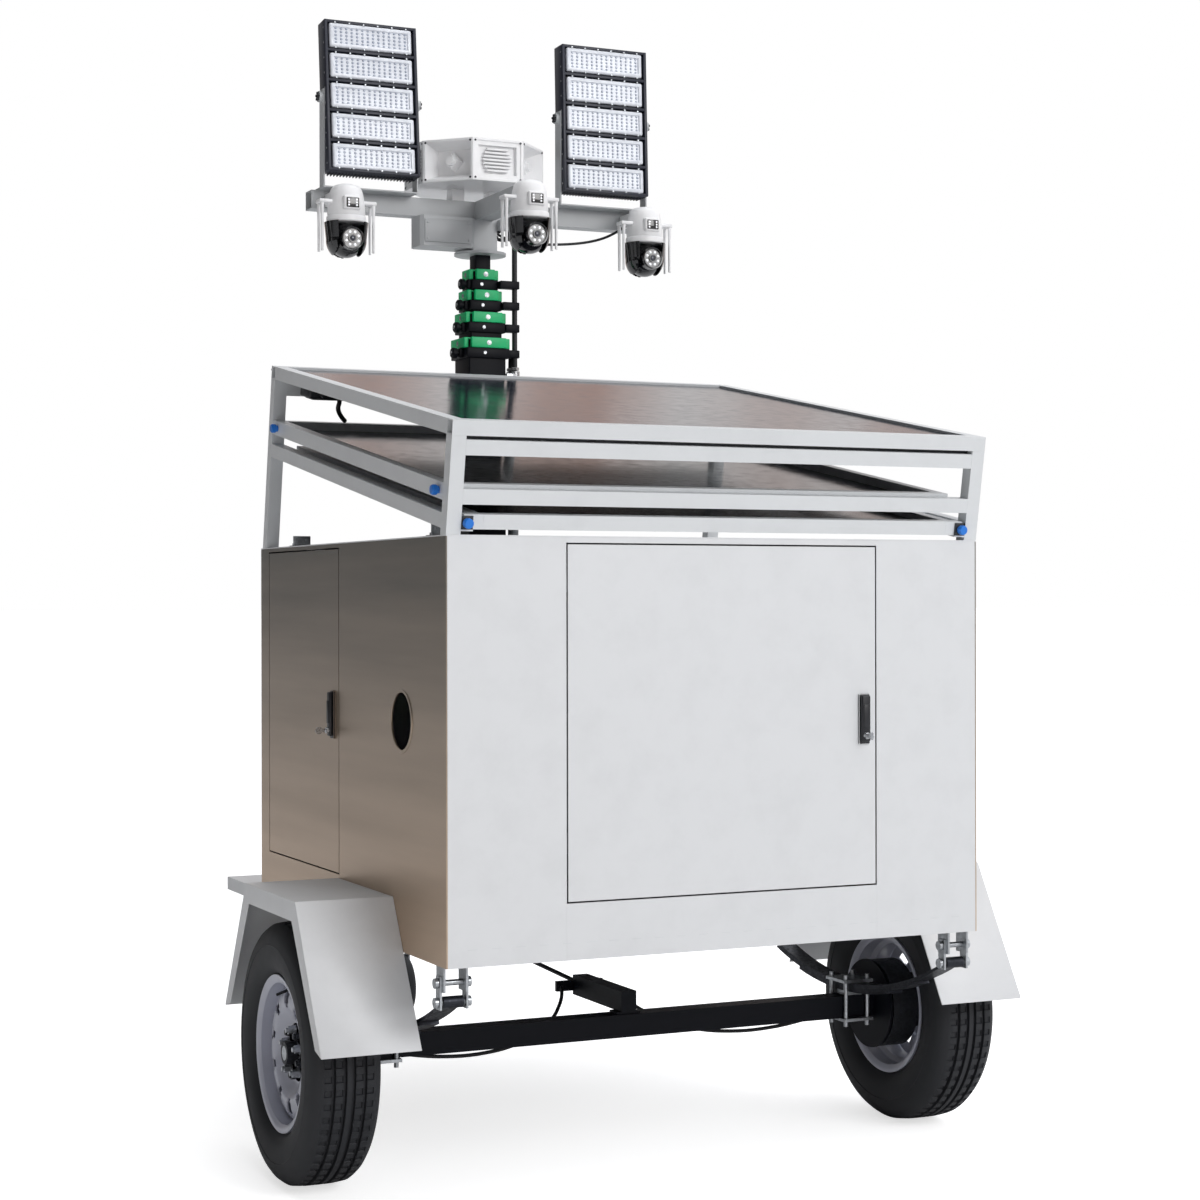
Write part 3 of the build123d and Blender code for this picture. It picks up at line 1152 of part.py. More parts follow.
finish(coupling_housing.part, "coupling_housing")

with BuildPart() as coupling_head:
    shaft_start = (0, REAR + COUPLING_START + 90, COUPLING_Z)
    rod(shaft_start, (0, HEAD_START + 4, COUPLING_Z), DRAW_SHAFT)
    block((-36, 36), (HEAD_START, NOSE), (COUPLING_Z - 36, COUPLING_Z + 36))
    fillet(coupling_head.edges().filter_by(Axis.Z).group_by(Axis.Y)[-1], 30)
    with Locations((0, NOSE - 46, COUPLING_Z - 18)):
        Sphere(25.3, mode=Mode.SUBTRACT)
    ball_way = (0, NOSE - 46, COUPLING_Z - 18)
    rod(ball_way, (0, NOSE - 46, COUPLING_Z - 37), 25.3, mode=Mode.SUBTRACT)
    pivot_ears(HEAD_PIVOT[0], COUPLING_Z + 30, HEAD_PIVOT[1])
finish(coupling_head.part, "coupling_head")

with BuildPart() as coupling_lever:
    lever_bar(HEAD_PIVOT[0], HEAD_PIVOT[1], 60, 7)
finish(coupling_lever.part, "coupling_lever")

with BuildPart() as handbrake_lever:
    lever_bar(BRAKE_PIVOT[0], BRAKE_PIVOT[1], 200, 9)
finish(handbrake_lever.part, "handbrake_lever")
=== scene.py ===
# %% [markdown]
# # A solar surveillance and light tower trailer
# The trailer's engineered parts are already modelled: frame, cabinet, axle, mast and joints.
# This notebook loads them as a fixed frame and gives them their looks: paints, solar cells,
# lamp lenses, dome cameras, tyres and the small hardware that a plain solid leaves out.

from math import cos, pi, radians, sin

import bmesh
import bpy
from mathutils import Matrix, Vector


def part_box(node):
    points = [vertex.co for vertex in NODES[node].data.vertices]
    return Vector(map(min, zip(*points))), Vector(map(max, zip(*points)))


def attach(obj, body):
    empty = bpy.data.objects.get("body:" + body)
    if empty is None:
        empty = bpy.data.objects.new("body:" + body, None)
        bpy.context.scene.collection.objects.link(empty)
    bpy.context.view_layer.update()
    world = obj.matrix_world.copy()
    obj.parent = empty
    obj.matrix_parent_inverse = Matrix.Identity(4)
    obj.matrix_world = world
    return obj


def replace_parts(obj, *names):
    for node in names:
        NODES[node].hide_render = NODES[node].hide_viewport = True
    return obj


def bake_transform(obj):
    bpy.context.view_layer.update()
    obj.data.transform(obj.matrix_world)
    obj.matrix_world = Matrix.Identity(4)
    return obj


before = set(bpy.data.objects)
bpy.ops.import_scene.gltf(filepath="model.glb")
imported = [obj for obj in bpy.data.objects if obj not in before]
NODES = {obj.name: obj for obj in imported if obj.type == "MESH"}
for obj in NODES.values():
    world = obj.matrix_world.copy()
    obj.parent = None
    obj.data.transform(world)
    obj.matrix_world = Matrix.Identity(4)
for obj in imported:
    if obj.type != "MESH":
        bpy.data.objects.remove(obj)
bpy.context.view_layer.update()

# %% [markdown]
# ## Places
# Many places come from the frame's own parts, so a piece lands where the solid is.
# The cabinet gives the width, the rear face and the roof, and the solar cage's slope
# is the one angle that a box can't tell, so it is named here.

# %% Driving places
CABINET_LOW, CABINET_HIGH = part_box("cabinet_side_panels")
REAR = CABINET_LOW.y
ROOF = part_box("cabinet_roof")[1].z
HALF = CABINET_HIGH.x
SLOPE = radians(10.2)
MAST_Y = (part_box("mast_base")[0].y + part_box("mast_base")[1].y) / 2
LAMP_TILT = {"left": radians(5), "right": radians(2)}
WHEEL_SIDES = {"left": -1, "right": 1}
UP = Vector((0, 0, 1))

# %% [markdown]
# ## A small language for shaders
# A procedural finish is mostly arithmetic on sockets. Wrapping a socket in a class lets the
# arithmetic be written as arithmetic, and one method makes every other kind of node.


# %% Socket arithmetic and the node maker
class Wire:
    """A socket that can be added, multiplied and compared."""

    def __init__(self, finish, socket):
        self.finish, self.socket = finish, socket

    def maths(self, operation, other, swapped=False):
        pair = (other, self) if swapped else (self, other)
        return self.finish.node("ShaderNodeMath", {"operation": operation}, dict(enumerate(pair)))

    def __add__(self, other):
        return self.maths("ADD", other)

    def __mul__(self, other):
        return self.maths("MULTIPLY", other)

    def __sub__(self, other):
        return self.maths("SUBTRACT", other)

    def __rsub__(self, other):
        return self.maths("SUBTRACT", other, swapped=True)

    def __lt__(self, other):
        return self.maths("LESS_THAN", other)

    def __gt__(self, other):
        return self.maths("GREATER_THAN", other)

    def __mod__(self, other):
        return self.maths("FLOORED_MODULO", other)


class Finish:
    """A material under construction."""

    def __init__(self, name):
        self.material = bpy.data.materials.new(name)
        self.material.use_nodes = True
        self.tree = self.material.node_tree
        self.shader = self.tree.nodes["Principled BSDF"]
        self.coords = self.tree.nodes.new("ShaderNodeTexCoord")

    def node(self, kind, settings=None, inputs=None, output=0):
        made = self.tree.nodes.new(kind)
        for key, value in (settings or {}).items():
            setattr(made, key, value)
        for key, value in (inputs or {}).items():
            self.feed(made.inputs[key], value)
        return Wire(self, made.outputs[output])

    def feed(self, socket, value):
        if isinstance(value, Wire):
            self.tree.links.new(value.socket, socket)
        else:
            socket.default_value = value

    def place(self):
        return Wire(self, self.coords.outputs["Object"])

    def noise(self, scale, detail=3.0, rough=0.5, where=None):
        inputs = {
            "Vector": where or self.place(),
            "Scale": scale,
            "Detail": detail,
            "Roughness": rough,
        }
        return self.node("ShaderNodeTexNoise", {}, inputs)

    def blend(self, share, low, high):
        """A colour between two, by a share from 0 to 1."""
        settings = {"data_type": "RGBA"}
        return self.node("ShaderNodeMix", settings, {0: share, 6: low, 7: high}, output=2)

    def spread(self, wire, low, high):
        """A value from 0 to 1 moved to run from low to high."""
        return wire * (high - low) + low

    def window(self, wire, low, high):
        """0 below low, 1 above high and a ramp between, so noise turns into patches."""
        inputs = {0: wire, 1: low, 2: high, 3: 0.0, 4: 1.0}
        return self.node("ShaderNodeMapRange", {"clamp": True}, inputs)

    def bump(self, height, strength, distance=0.001):
        inputs = {"Strength": strength, "Distance": distance, "Height": height}
        self.feed(self.shader.inputs["Normal"], self.node("ShaderNodeBump", {}, inputs))

    def set(self, **values):
        for key, value in values.items():
            socket = key.replace("_", " ").title().replace("Ior", "IOR")
            self.feed(self.shader.inputs[socket], value)
        return self


def shade(red, green, blue):
    """An sRGB colour on a 0 to 255 scale, as the linear colour that shaders use."""
    steps = []
    for value in (red, green, blue):
        value /= 255
        steps.append(value / 12.92 if value <= 0.04045 else ((value + 0.055) / 1.055) ** 2.4)
    return (*steps, 1.0)


# %% [markdown]
# ## Paints
# Powder coat isn't flat: it has a fine orange-peel skin and a faint change of gloss over a
# hand's width. Two noises at those two scales give it, one in the bump, one in the roughness.


# %% Powder coats
def powder_coat(name, colour, gloss, peel=0.12, coat=0.0, shine=0.5):
    paint = Finish(name)
    cloud = paint.noise(3.0, 4.0)
    dust = paint.window(paint.noise(9.0, 6.0, 0.65), 0.45, 0.75)
    darker = tuple(value * 0.9 for value in colour[:3]) + (1.0,)
    paint.set(
        base_color=paint.blend(dust * 0.5 + cloud * 0.2, colour, darker),
        roughness=paint.spread(cloud, gloss - 0.06, gloss + 0.08),
        specular_ior_level=shine,
    )
    if coat:
        paint.set(coat_weight=coat, coat_roughness=0.12)
    paint.bump(paint.noise(900.0, 2.0), peel, 0.0002)
    return paint.material


WHITE_COAT = powder_coat("white_powder_coat", shade(224, 226, 228), 0.36)
CAGE_COAT = powder_coat("cage_coat", shade(219, 222, 224), 0.33)
BLACK_COAT = powder_coat("black_chassis_coat", shade(12, 15, 23), 0.5, shine=0.16)
GREY_COAT = powder_coat("grey_mast_head_coat", shade(190, 193, 195), 0.36)
MAST_BLACK = powder_coat("mast_black_anodised", shade(13, 15, 22), 0.45, peel=0.05, shine=0.16)
LAMP_BLACK = powder_coat("lamp_housing_coat", shade(34, 38, 52), 0.4)
RIM_COAT = powder_coat("rim_silver_coat", shade(186, 189, 203), 0.3, coat=0.3)

# %% [markdown]
# The left side of the cabinet is finished in a satin metallic coat, which mirrors what stands
# beside it much more than the rear does. A metallic share and a long, soft streak along the
# rolled sheet do that. The base colour also holds a painted reflection and painted shade by
# height: warm and light near the bottom, dark towards the top.

# %% Satin side coat
side = Finish("satin_side_coat")
streak_scale = side.node(
    "ShaderNodeMapping", {}, {"Vector": side.place(), "Scale": (1.0, 0.35, 6.0)}
)
streak = side.noise(2.2, 5.0, 0.55, where=streak_scale)
height = side.node("ShaderNodeSeparateXYZ", {}, {0: side.place()}, output=2)
# painted reflection and painted shade: the share rises with height, from warm light low down to
# dark high up
painted_height_shade = side.window(height, CABINET_LOW.z, CABINET_HIGH.z)
painted_low_reflection, painted_high_shade = shade(214, 188, 162), shade(112, 110, 105)
side.set(
    base_color=side.blend(painted_height_shade * 0.85 + streak * 0.25, painted_low_reflection, painted_high_shade),
    metallic=0.72,
    roughness=side.spread(streak, 0.3, 0.44),
)
side.bump(side.noise(700.0, 2.0), 0.08, 0.0002)
SIDE_COAT = side.material

# %% [markdown]
# ## Metals, rubber and plastics
# Zinc plating shows crystals a few millimetres across. A Voronoi pattern at that size changes
# the roughness and the tone of each crystal a little.


# %% Zinc, steel, rubber, plastic
def zinc(name, tone, rough):
    metal = Finish(name)
    crystal = metal.node(
        "ShaderNodeTexVoronoi", {}, {"Vector": metal.place(), "Scale": 140.0}, output=1
    )
    bright = metal.node("ShaderNodeSeparateColor", {}, {0: crystal})
    stain = metal.window(metal.noise(18.0, 5.0), 0.5, 0.75)
    low = tuple(value * 0.72 for value in tone[:3]) + (1.0,)
    metal.set(
        base_color=metal.blend(bright * 0.6 + stain * 0.35, tone, low),
        metallic=0.9,
        roughness=metal.spread(bright, rough - 0.08, rough + 0.1),
    )
    metal.bump(metal.noise(260.0, 3.0), 0.1, 0.0003)
    return metal.material


def moulded(name, colour, rough, grain=0.12, scale=500.0):
    plastic = Finish(name)
    cloud = plastic.noise(24.0, 3.0)
    lighter = tuple(min(1.0, value * 1.25 + 0.004) for value in colour[:3]) + (1.0,)
    plastic.set(
        base_color=plastic.blend(cloud, colour, lighter),
        roughness=plastic.spread(cloud, rough - 0.05, rough + 0.08),
    )
    plastic.bump(plastic.noise(scale, 2.0), grain, 0.0003)
    return plastic.material


ZINC = zinc("zinc_plating", shade(190, 194, 198), 0.36)
BRIGHT_STEEL = zinc("bright_steel", shade(205, 207, 210), 0.26)
SPRING_STEEL = zinc("oiled_spring_steel", shade(58, 60, 66), 0.46)
DRUM_IRON = zinc("cast_drum_iron", shade(74, 76, 80), 0.5)
RUBBER = moulded("tyre_rubber", shade(26, 28, 33), 0.62, 0.25, 320.0)
SLEEVE = moulded("cable_sleeve", shade(22, 23, 27), 0.5, 0.1)
BLACK_PLASTIC = moulded("black_moulded_plastic", shade(20, 22, 28), 0.4)
WHITE_PLASTIC = moulded("white_moulded_plastic", shade(238, 239, 241), 0.32, 0.05)
BLUE_PLASTIC = moulded("blue_knob_plastic", shade(24, 112, 204), 0.34, 0.06)
GREEN_BLOCK = moulded("green_guide_block", shade(8, 190, 116), 0.42, 0.08)
BATTERY_CASE = moulded("battery_case", shade(44, 46, 52), 0.5)
CABINET_GREY = moulded("equipment_case", shade(176, 180, 182), 0.44)

# %% [markdown]
# The dome and the lens glass are smooth, dark and glossy, so they get a clear coat, and a haze
# of dust in the roughness keeps them from looking like a perfect mirror. The camera's small
# light dots also get a faint emission, a painted glow that keeps them bright white.


# %% Dark gloss and lens plastics
def gloss(name, colour, rough, coat, painted_glow=0.0):
    shell = Finish(name)
    haze = shell.window(shell.noise(40.0, 5.0), 0.4, 0.8)
    lighter = tuple(min(1.0, value * 1.15 + 0.01) for value in colour[:3]) + (1.0,)
    shell.set(
        base_color=shell.blend(haze, colour, lighter),
        roughness=shell.spread(haze, rough, rough + 0.12),
        coat_weight=coat,
        coat_roughness=0.06,
    )
    # a faint emission here is a painted glow, not a lit lamp
    if painted_glow:
        shell.set(emission_color=colour, emission_strength=painted_glow)
    return shell.material


DOME_GLOSS = gloss("dome_gloss_black", shade(16, 17, 20), 0.12, 0.8)
LENS_TRAY = gloss("lamp_lens_tray", shade(228, 232, 240), 0.24, 0.5)
LENS_CHIP = gloss("lamp_lens_dome", shade(176, 184, 200), 0.12, 0.6)
# the camera's light dots carry a faint painted glow
LENS_DOT = gloss("camera_light_painted_glow", shade(246, 248, 252), 0.1, 0.8, painted_glow=0.3)
EYE_GLASS = gloss("camera_eye_glass", shade(40, 44, 60), 0.05, 1.0)

# %% [markdown]
# ## Solar cells
# A panel is a grid of dark silicon squares with hairline gaps, crossed by fine silver busbars,
# all behind glass. The panels lean with the cage, so the pattern is laid out on coordinates
# that are turned back by the slope before they are cut into squares.


# %% Solar cell finish
CELL, CELL_GAP = 0.158, 0.0032
BUSBARS, BAR_WIDE = 4, 0.0011
FINGER_PITCH, FINGER_WIDE = 0.0032, 0.0006


def solar_cells(name, cell, offset):
    panel = Finish(name)
    level = panel.node(
        "ShaderNodeMapping",
        {"vector_type": "POINT"},
        {"Vector": panel.place(), "Location": offset, "Rotation": (-SLOPE, 0.0, 0.0)},
    )
    across = panel.node("ShaderNodeSeparateXYZ", {}, {0: level}, output=0)
    along = panel.node("ShaderNodeSeparateXYZ", {}, {0: level}, output=1)
    cell_x, cell_y = across % cell, along % cell
    line = 1.0 - (cell_x > CELL_GAP) * (cell_y > CELL_GAP)
    bar = (across % (cell / BUSBARS)) < BAR_WIDE
    finger = (along % FINGER_PITCH) < FINGER_WIDE
    tint = panel.noise(7.0, 2.0)
    silicon = panel.blend(tint, shade(12, 16, 30), shade(20, 25, 44))
    wired = panel.blend(bar * 0.55 + finger * 0.1, silicon, shade(130, 138, 150))
    panel.set(
        base_color=panel.blend(line * 0.8, wired, shade(96, 104, 118)),
        roughness=panel.spread(panel.window(panel.noise(30.0, 4.0), 0.4, 0.8), 0.1, 0.2),
        ior=1.26,
    )
    return panel.material


SOLAR = solar_cells("solar_cells", CELL, (0.0, 0.0, 0.0))

# %% Finishes for the frame's own parts
PART_FINISH = {
    WHITE_COAT: "front_deck cabinet_floor cabinet_roof cabinet_end_panels rear_door fenders",
    SIDE_COAT: "cabinet_side_panels left_door",
    BLACK_COAT: "chassis_frame axle_beam brake_linkage",
    ZINC: "spring_fittings jockey_tube jockey_fork jockey_crank coupling_housing coupling_head "
    "coupling_lever handbrake_lever",
    SPRING_STEEL: "leaf_springs",
    DRUM_IRON: "left_hub right_hub",
    GREY_COAT: "head_frame head_box",
    MAST_BLACK: "mast_base mast_section_2 mast_section_3 mast_section_4 mast_section_5",
    CAGE_COAT: "solar_cage left_drawer_frame rear_drawer_frame",
    SOLAR: "top_panel left_drawer_panel rear_drawer_panel",
    LAMP_BLACK: "left_lamp right_lamp",
    WHITE_PLASTIC: "camera_mounts camera_1_yoke camera_2_yoke camera_3_yoke speaker",
    DOME_GLOSS: "camera_1_ball camera_2_ball camera_3_ball",
    RUBBER: "left_tyre right_tyre jockey_wheel",
    RIM_COAT: "left_rim right_rim",
    BLACK_PLASTIC: "rear_door_lever left_door_lever",
    BLUE_PLASTIC: "left_drawer_knob_rear left_drawer_knob_front rear_drawer_knob_left "
    "rear_drawer_knob_right",
    SLEEVE: "mast_cable brake_cables",
    BATTERY_CASE: "battery_bank",
    CABINET_GREY: "equipment_plate",
}
finished = set()
for material, names in PART_FINISH.items():
    for name in names.split():
        slots = NODES[name].data.materials
        slots.clear()
        slots.append(material)
        finished.add(name)
print("parts without a finish:", sorted(set(NODES) - finished))

# %% [markdown]
# ## Tools for shaping pieces
# Most hardware is a bevelled block, a bar or a turned shape. Each helper adds one of these to
# a bmesh with an operator, so a piece is a short list of what it is made of.


# %% Blocks, bars and turned shapes
def block_in(shape, low, high, round_by=0.0, steps=2):
    low, high = Vector(low), Vector(high)
    size = Matrix.Diagonal((*(high - low), 1.0))
    at = Matrix.Translation((low + high) / 2)
    made = bmesh.ops.create_cube(shape, size=1.0, matrix=at @ size)["verts"]
    if round_by:
        edges = list({edge for vert in made for edge in vert.link_edges})
        bmesh.ops.bevel(
            shape,
            geom=edges,
            offset=round_by,
            segments=steps,
            profile=0.5,
            affect="EDGES",
            material=-1,
        )


def bar_in(shape, start, end, radius, sides=24, tip=None):
    start, end = Vector(start), Vector(end)
    run = end - start
    at = Matrix.Translation((start + end) / 2) @ run.to_track_quat("Z", "Y").to_matrix().to_4x4()
    return bmesh.ops.create_cone(
        shape,
        cap_ends=True,
        segments=sides,
        radius1=radius,
        radius2=radius if tip is None else tip,
        depth=run.length,
        matrix=at,
    )["verts"]


def stud_in(shape, spot, way, length, radius, sides=24, tip=None):
    """A bar from a spot, a length along a direction."""
    bar_in(shape, spot, spot + way * length, radius, sides, tip)


def slab_in(shape, centre, half, round_by=0.0, steps=2):
    """A block by its centre and half its size."""
    block_in(shape, centre - Vector(half), centre + Vector(half), round_by, steps)


def quarter_turn(number):
    """Turns a piece round the mast by a number of right angles."""
    return Matrix.Translation((0, MAST_Y, 0)) @ Matrix.Rotation(number * pi / 2, 4, "Z")


def turned_in(shape, profile, centre, axis, steps=64, closed=False):
    """Spins a profile of (distance along the axis, radius) points round the axis."""
    centre, axis = Vector(centre), Vector(axis).normalized()
    out = axis.orthogonal().normalized()
    verts = [shape.verts.new(centre + axis * along + out * radius) for along, radius in profile]
    pairs = list(zip(verts, verts[1:]))
    if closed:
        pairs.append((verts[-1], verts[0]))
    edges = [shape.edges.new(pair) for pair in pairs]
    bmesh.ops.spin(
        shape,
        geom=verts + edges,
        cent=centre,
        axis=axis,
        angle=2 * pi,
        steps=steps,
        use_merge=True,
    )
    bmesh.ops.remove_doubles(shape, verts=shape.verts, dist=1e-6)


def join_in(shape, part, turn=None):
    """Adds a finished sub-shape to a shape and frees it."""
    if turn is not None:
        bmesh.ops.transform(part, matrix=turn, verts=part.verts)
    held = bpy.data.meshes.new("held")
    part.to_mesh(held)
    part.free()
    shape.from_mesh(held)
    bpy.data.meshes.remove(held)


def dome_in(shape, centre, radius, matrix=None, u=8, v=4):
    at = Matrix.Translation(centre) @ (matrix or Matrix.Identity(4))
    bmesh.ops.create_uvsphere(shape, u_segments=u, v_segments=v, radius=radius, matrix=at)


def piece(name, shape, body, material, turn=None, crease=32):
    """Turns a bmesh into a finished piece that rides on a body."""
    if turn is not None:
        bmesh.ops.transform(shape, matrix=turn, verts=shape.verts)
    bmesh.ops.recalc_face_normals(shape, faces=shape.faces)
    mesh = bpy.data.meshes.new(name)
    shape.to_mesh(mesh)
    shape.free()
    mesh.materials.append(material)
    mesh.shade_smooth()
    mesh.set_sharp_from_angle(angle=radians(crease))
    made = bpy.data.objects.new(name, mesh)
    bpy.context.scene.collection.objects.link(made)
    if body:
        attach(made, body)
    return made


def middle(node):
    low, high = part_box(node)
    return (low + high) / 2


# %% [markdown]
# ## The two lamps
# Each lamp is a tall frame that holds five lens modules. A module is a clear tray with a
# raised rim and five rows of small lenses. The lamp leans a few degrees on its bracket, so it
# is built upright round its pivot and then turned.

# %% Lamp sizes
LAMP_WIDTH, LAMP_HEIGHT, LAMP_DEPTH = 0.285, 0.450, 0.070
MODULES = 5
PITCH = LAMP_HEIGHT / MODULES
RAIL = 0.008
TRAY_HALF = Vector((0.1275, 0.0, 0.0365))
LENS_ROWS, LENS_COLUMNS = 5, 14
LAMP_FACE = -LAMP_DEPTH / 2


# %% Housing, trays and lenses
def lamp_housing():
    shape = bmesh.new()
    half_w, half_h = LAMP_WIDTH / 2, LAMP_HEIGHT / 2
    for turn in (-1, 1):
        inner, outer = sorted((turn * half_w, turn * (half_w - 0.009)))
        block_in(shape, (inner, LAMP_FACE + 0.001, -half_h), (outer, 0.028, half_h), 0.0015)
    for level in range(MODULES + 1):
        z = -half_h + level * PITCH
        z = min(max(z, -half_h + RAIL / 2), half_h - RAIL / 2)
        low = (-half_w + 0.006, LAMP_FACE + 0.002, z - RAIL / 2)
        block_in(shape, low, (half_w - 0.006, 0.018, z + RAIL / 2), 0.001)
    back = (-half_w + 0.008, -0.016, -half_h + 0.004)
    block_in(shape, back, (half_w - 0.008, -0.004, half_h - 0.004))
    fins = 27
    for fin in range(fins):
        x = -half_w + 0.014 + fin * (LAMP_WIDTH - 0.028) / (fins - 1)
        block_in(shape, (x - 0.001, -0.006, -half_h - 0.004), (x + 0.001, 0.027, half_h - 0.002))
    block_in(shape, (-0.045, 0.020, -0.06), (0.045, 0.0345, 0.06), 0.003)
    return shape


def lamp_trays():
    shape = bmesh.new()
    for module in range(MODULES):
        z = -LAMP_HEIGHT / 2 + (module + 0.5) * PITCH
        low = Vector((0, LAMP_FACE + 0.0012, z)) - TRAY_HALF
        high = Vector((0, -0.016, z)) + TRAY_HALF
        block_in(shape, low, high, 0.006, 3)
    fronts = [face for face in shape.faces if face.normal.y < -0.99 and face.calc_area() > 0.005]
    bmesh.ops.inset_individual(shape, faces=fronts, thickness=0.005, use_even_offset=True)
    bmesh.ops.inset_individual(
        shape, faces=fronts, thickness=0.003, depth=-0.004, use_even_offset=True
    )
    return shape


def lamp_lenses():
    shape = bmesh.new()
    span_x, span_z = 2 * TRAY_HALF.x - 0.040, 2 * TRAY_HALF.z - 0.030
    for module in range(MODULES):
        z0 = -LAMP_HEIGHT / 2 + (module + 0.5) * PITCH
        for row in range(LENS_ROWS):
            for column in range(LENS_COLUMNS):
                x = -span_x / 2 + column * span_x / (LENS_COLUMNS - 1)
                z = z0 - span_z / 2 + row * span_z / (LENS_ROWS - 1)
                root, tip = (x, LAMP_FACE + 0.0056, z), (x, LAMP_FACE + 0.0022, z)
                bar_in(shape, root, tip, 0.0046, sides=8, tip=0.0022)
    return shape


def lamp_screws():
    shape = bmesh.new()
    for module in range(MODULES):
        z0 = -LAMP_HEIGHT / 2 + (module + 0.5) * PITCH
        for column in range(6):
            x = -0.110 + column * 0.044
            for edge in (-1, 1):
                z = z0 + edge * (TRAY_HALF.z + 0.001)
                bar_in(shape, (x, -0.030, z), (x, LAMP_FACE + 0.0002, z), 0.0024, sides=10)
    for turn in (-1, 1):
        for level in range(2 * MODULES):
            z = -LAMP_HEIGHT / 2 + (level + 0.5) * PITCH / 2
            x = turn * (LAMP_WIDTH / 2 - 0.001)
            bar_in(shape, (x, -0.020, z), (x + turn * 0.0012, -0.020, z), 0.003, sides=10)
    return shape


for name, tilt in LAMP_TILT.items():
    node = f"{name}_lamp"
    lean = Matrix.Translation(middle(node)) @ Matrix.Rotation(-tilt, 4, "X")
    housing = piece(f"{name}_lamp_housing", lamp_housing(), node, LAMP_BLACK, lean)
    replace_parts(housing, node)
    piece(f"{name}_lamp_trays", lamp_trays(), node, LENS_TRAY, lean)
    piece(f"{name}_lamp_lenses", lamp_lenses(), node, LENS_CHIP, lean)
    piece(f"{name}_lamp_screws", lamp_screws(), node, ZINC, lean)

# %% [markdown]
# ## Dome cameras
# A camera has a fixed white body, a collar that pans under it, and a black ball that tilts in
# the collar. They are three bodies, so they are three sets of pieces. The body and the ball's
# eye are turned shapes, and the eye is ringed with small lights.

# %% Camera sizes
BALL = 0.050
EYE_RING = 8
WHIP = ((0.104, 0.078, 0.0056, 0.0050), (0.079, -0.034, 0.0044, 0.0038))
SHELL = 0.0590
SHELL_SLOT = 0.0395
BACK = Vector((0, -1, 0))
SHELL_WALL = 0.0022
ARM_LOW, ARM_HIGH = 2.605, 2.660
LIGHT_RING = 0.0198


# %% Camera body, collar and ball
def camera_centre(number):
    low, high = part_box(f"camera_{number}_yoke")
    return Vector(((low.x + high.x) / 2, (low.y + high.y) / 2, high.z - 0.0697))


def camera_body(centre):
    shape = bmesh.new()
    dome = ((0.0705, 0.0), (0.0705, 0.053), (0.076, 0.0555), (0.104, 0.054), (0.132, 0.050))
    dome += ((0.148, 0.045), (0.158, 0.036), (0.163, 0.020), (0.1635, 0.0))
    turned_in(shape, dome, centre, (0, 0, 1), 48)
    face_low, face_high = Vector((-0.026, -0.060, 0.082)), Vector((0.026, -0.030, 0.124))
    block_in(shape, centre + face_low, centre + face_high, 0.006, 3)
    back_low, back_high = Vector((-0.030, 0.030, 0.098)), Vector((0.030, 0.0502, 0.160))
    block_in(shape, centre + back_low, centre + back_high, 0.003)
    on_side_arm = abs(centre.x) > 0.1
    reach = MAST_Y - 0.0277 if on_side_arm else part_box("head_frame")[0].y
    low = centre + Vector((-0.026, 0.046, 0.0))
    low.z = ARM_LOW + 0.006
    block_in(shape, low, (centre.x + 0.026, reach - 0.0002, ARM_LOW + 0.043), 0.004)
    for turn in (-1, 1):
        ear = centre + Vector((turn * 0.066, 0, 0.110))
        slab_in(shape, ear, (0.021, 0.021, 0.0055), 0.003)
        for along in (-0.016, 0.016):
            whip = centre + Vector((turn * 0.078, along, 0.0))
            for top, foot, wide, narrow in WHIP:
                start, end = whip + Vector((0, 0, top)), whip + Vector((0, 0, foot))
                bar_in(shape, start, end, wide, 12, narrow)
    return shape


def camera_light_panel(centre):
    shape = bmesh.new()
    low, high = Vector((-0.020, -0.0612, 0.088)), Vector((0.020, -0.055, 0.118))
    block_in(shape, centre + low, centre + high, 0.003, 3)
    return shape


def camera_lights(centre):
    shape = bmesh.new()
    for x in (-0.012, 0.012):
        for z in (0.095, 0.103, 0.111):
            spot = centre + Vector((x, -0.0608, z))
            stud_in(shape, spot, BACK, 0.0016, 0.0033, 12, 0.0024)
    return shape


def camera_collar(centre):
    shape = bmesh.new()
    ring = ((0.0505, 0.0), (0.0505, 0.0545), (0.053, 0.0575), (0.066, 0.058), (0.0694, 0.0565))
    turned_in(shape, (*ring, (0.0694, 0.0)), centre, (0, 0, 1), 48)
    return shape


def camera_shell(centre):
    """A half globe round the ball, slotted in front so that the eye can tilt down."""
    shape = bmesh.new()
    dome_in(shape, centre, SHELL, u=64, v=48)
    open_faces = []
    for face in shape.faces:
        x, y, z = face.calc_center_median() - centre
        facing_slot = y < 0.006 or (z < -0.03 and y < 0.037)
        if z > 0.004 or (abs(x) < SHELL_SLOT and facing_slot):
            open_faces.append(face)
    bmesh.ops.delete(shape, geom=open_faces, context="FACES")
    bmesh.ops.recalc_face_normals(shape, faces=shape.faces)
    bmesh.ops.solidify(shape, geom=list(shape.faces), thickness=SHELL_WALL)
    wall = ((0.004, SHELL), (0.0515, 0.0640), (0.0515, 0.0570), (0.004, SHELL - SHELL_WALL))
    part = bmesh.new()
    turned_in(part, wall, centre, (0, 0, 1), 64, closed=True)
    gap = []
    for face in part.faces:
        x, y, _ = face.calc_center_median() - centre
        if abs(x) < SHELL_SLOT and y < 0:
            gap.append(face)
    bmesh.ops.delete(part, geom=gap, context="FACES")
    join_in(shape, part)
    return shape


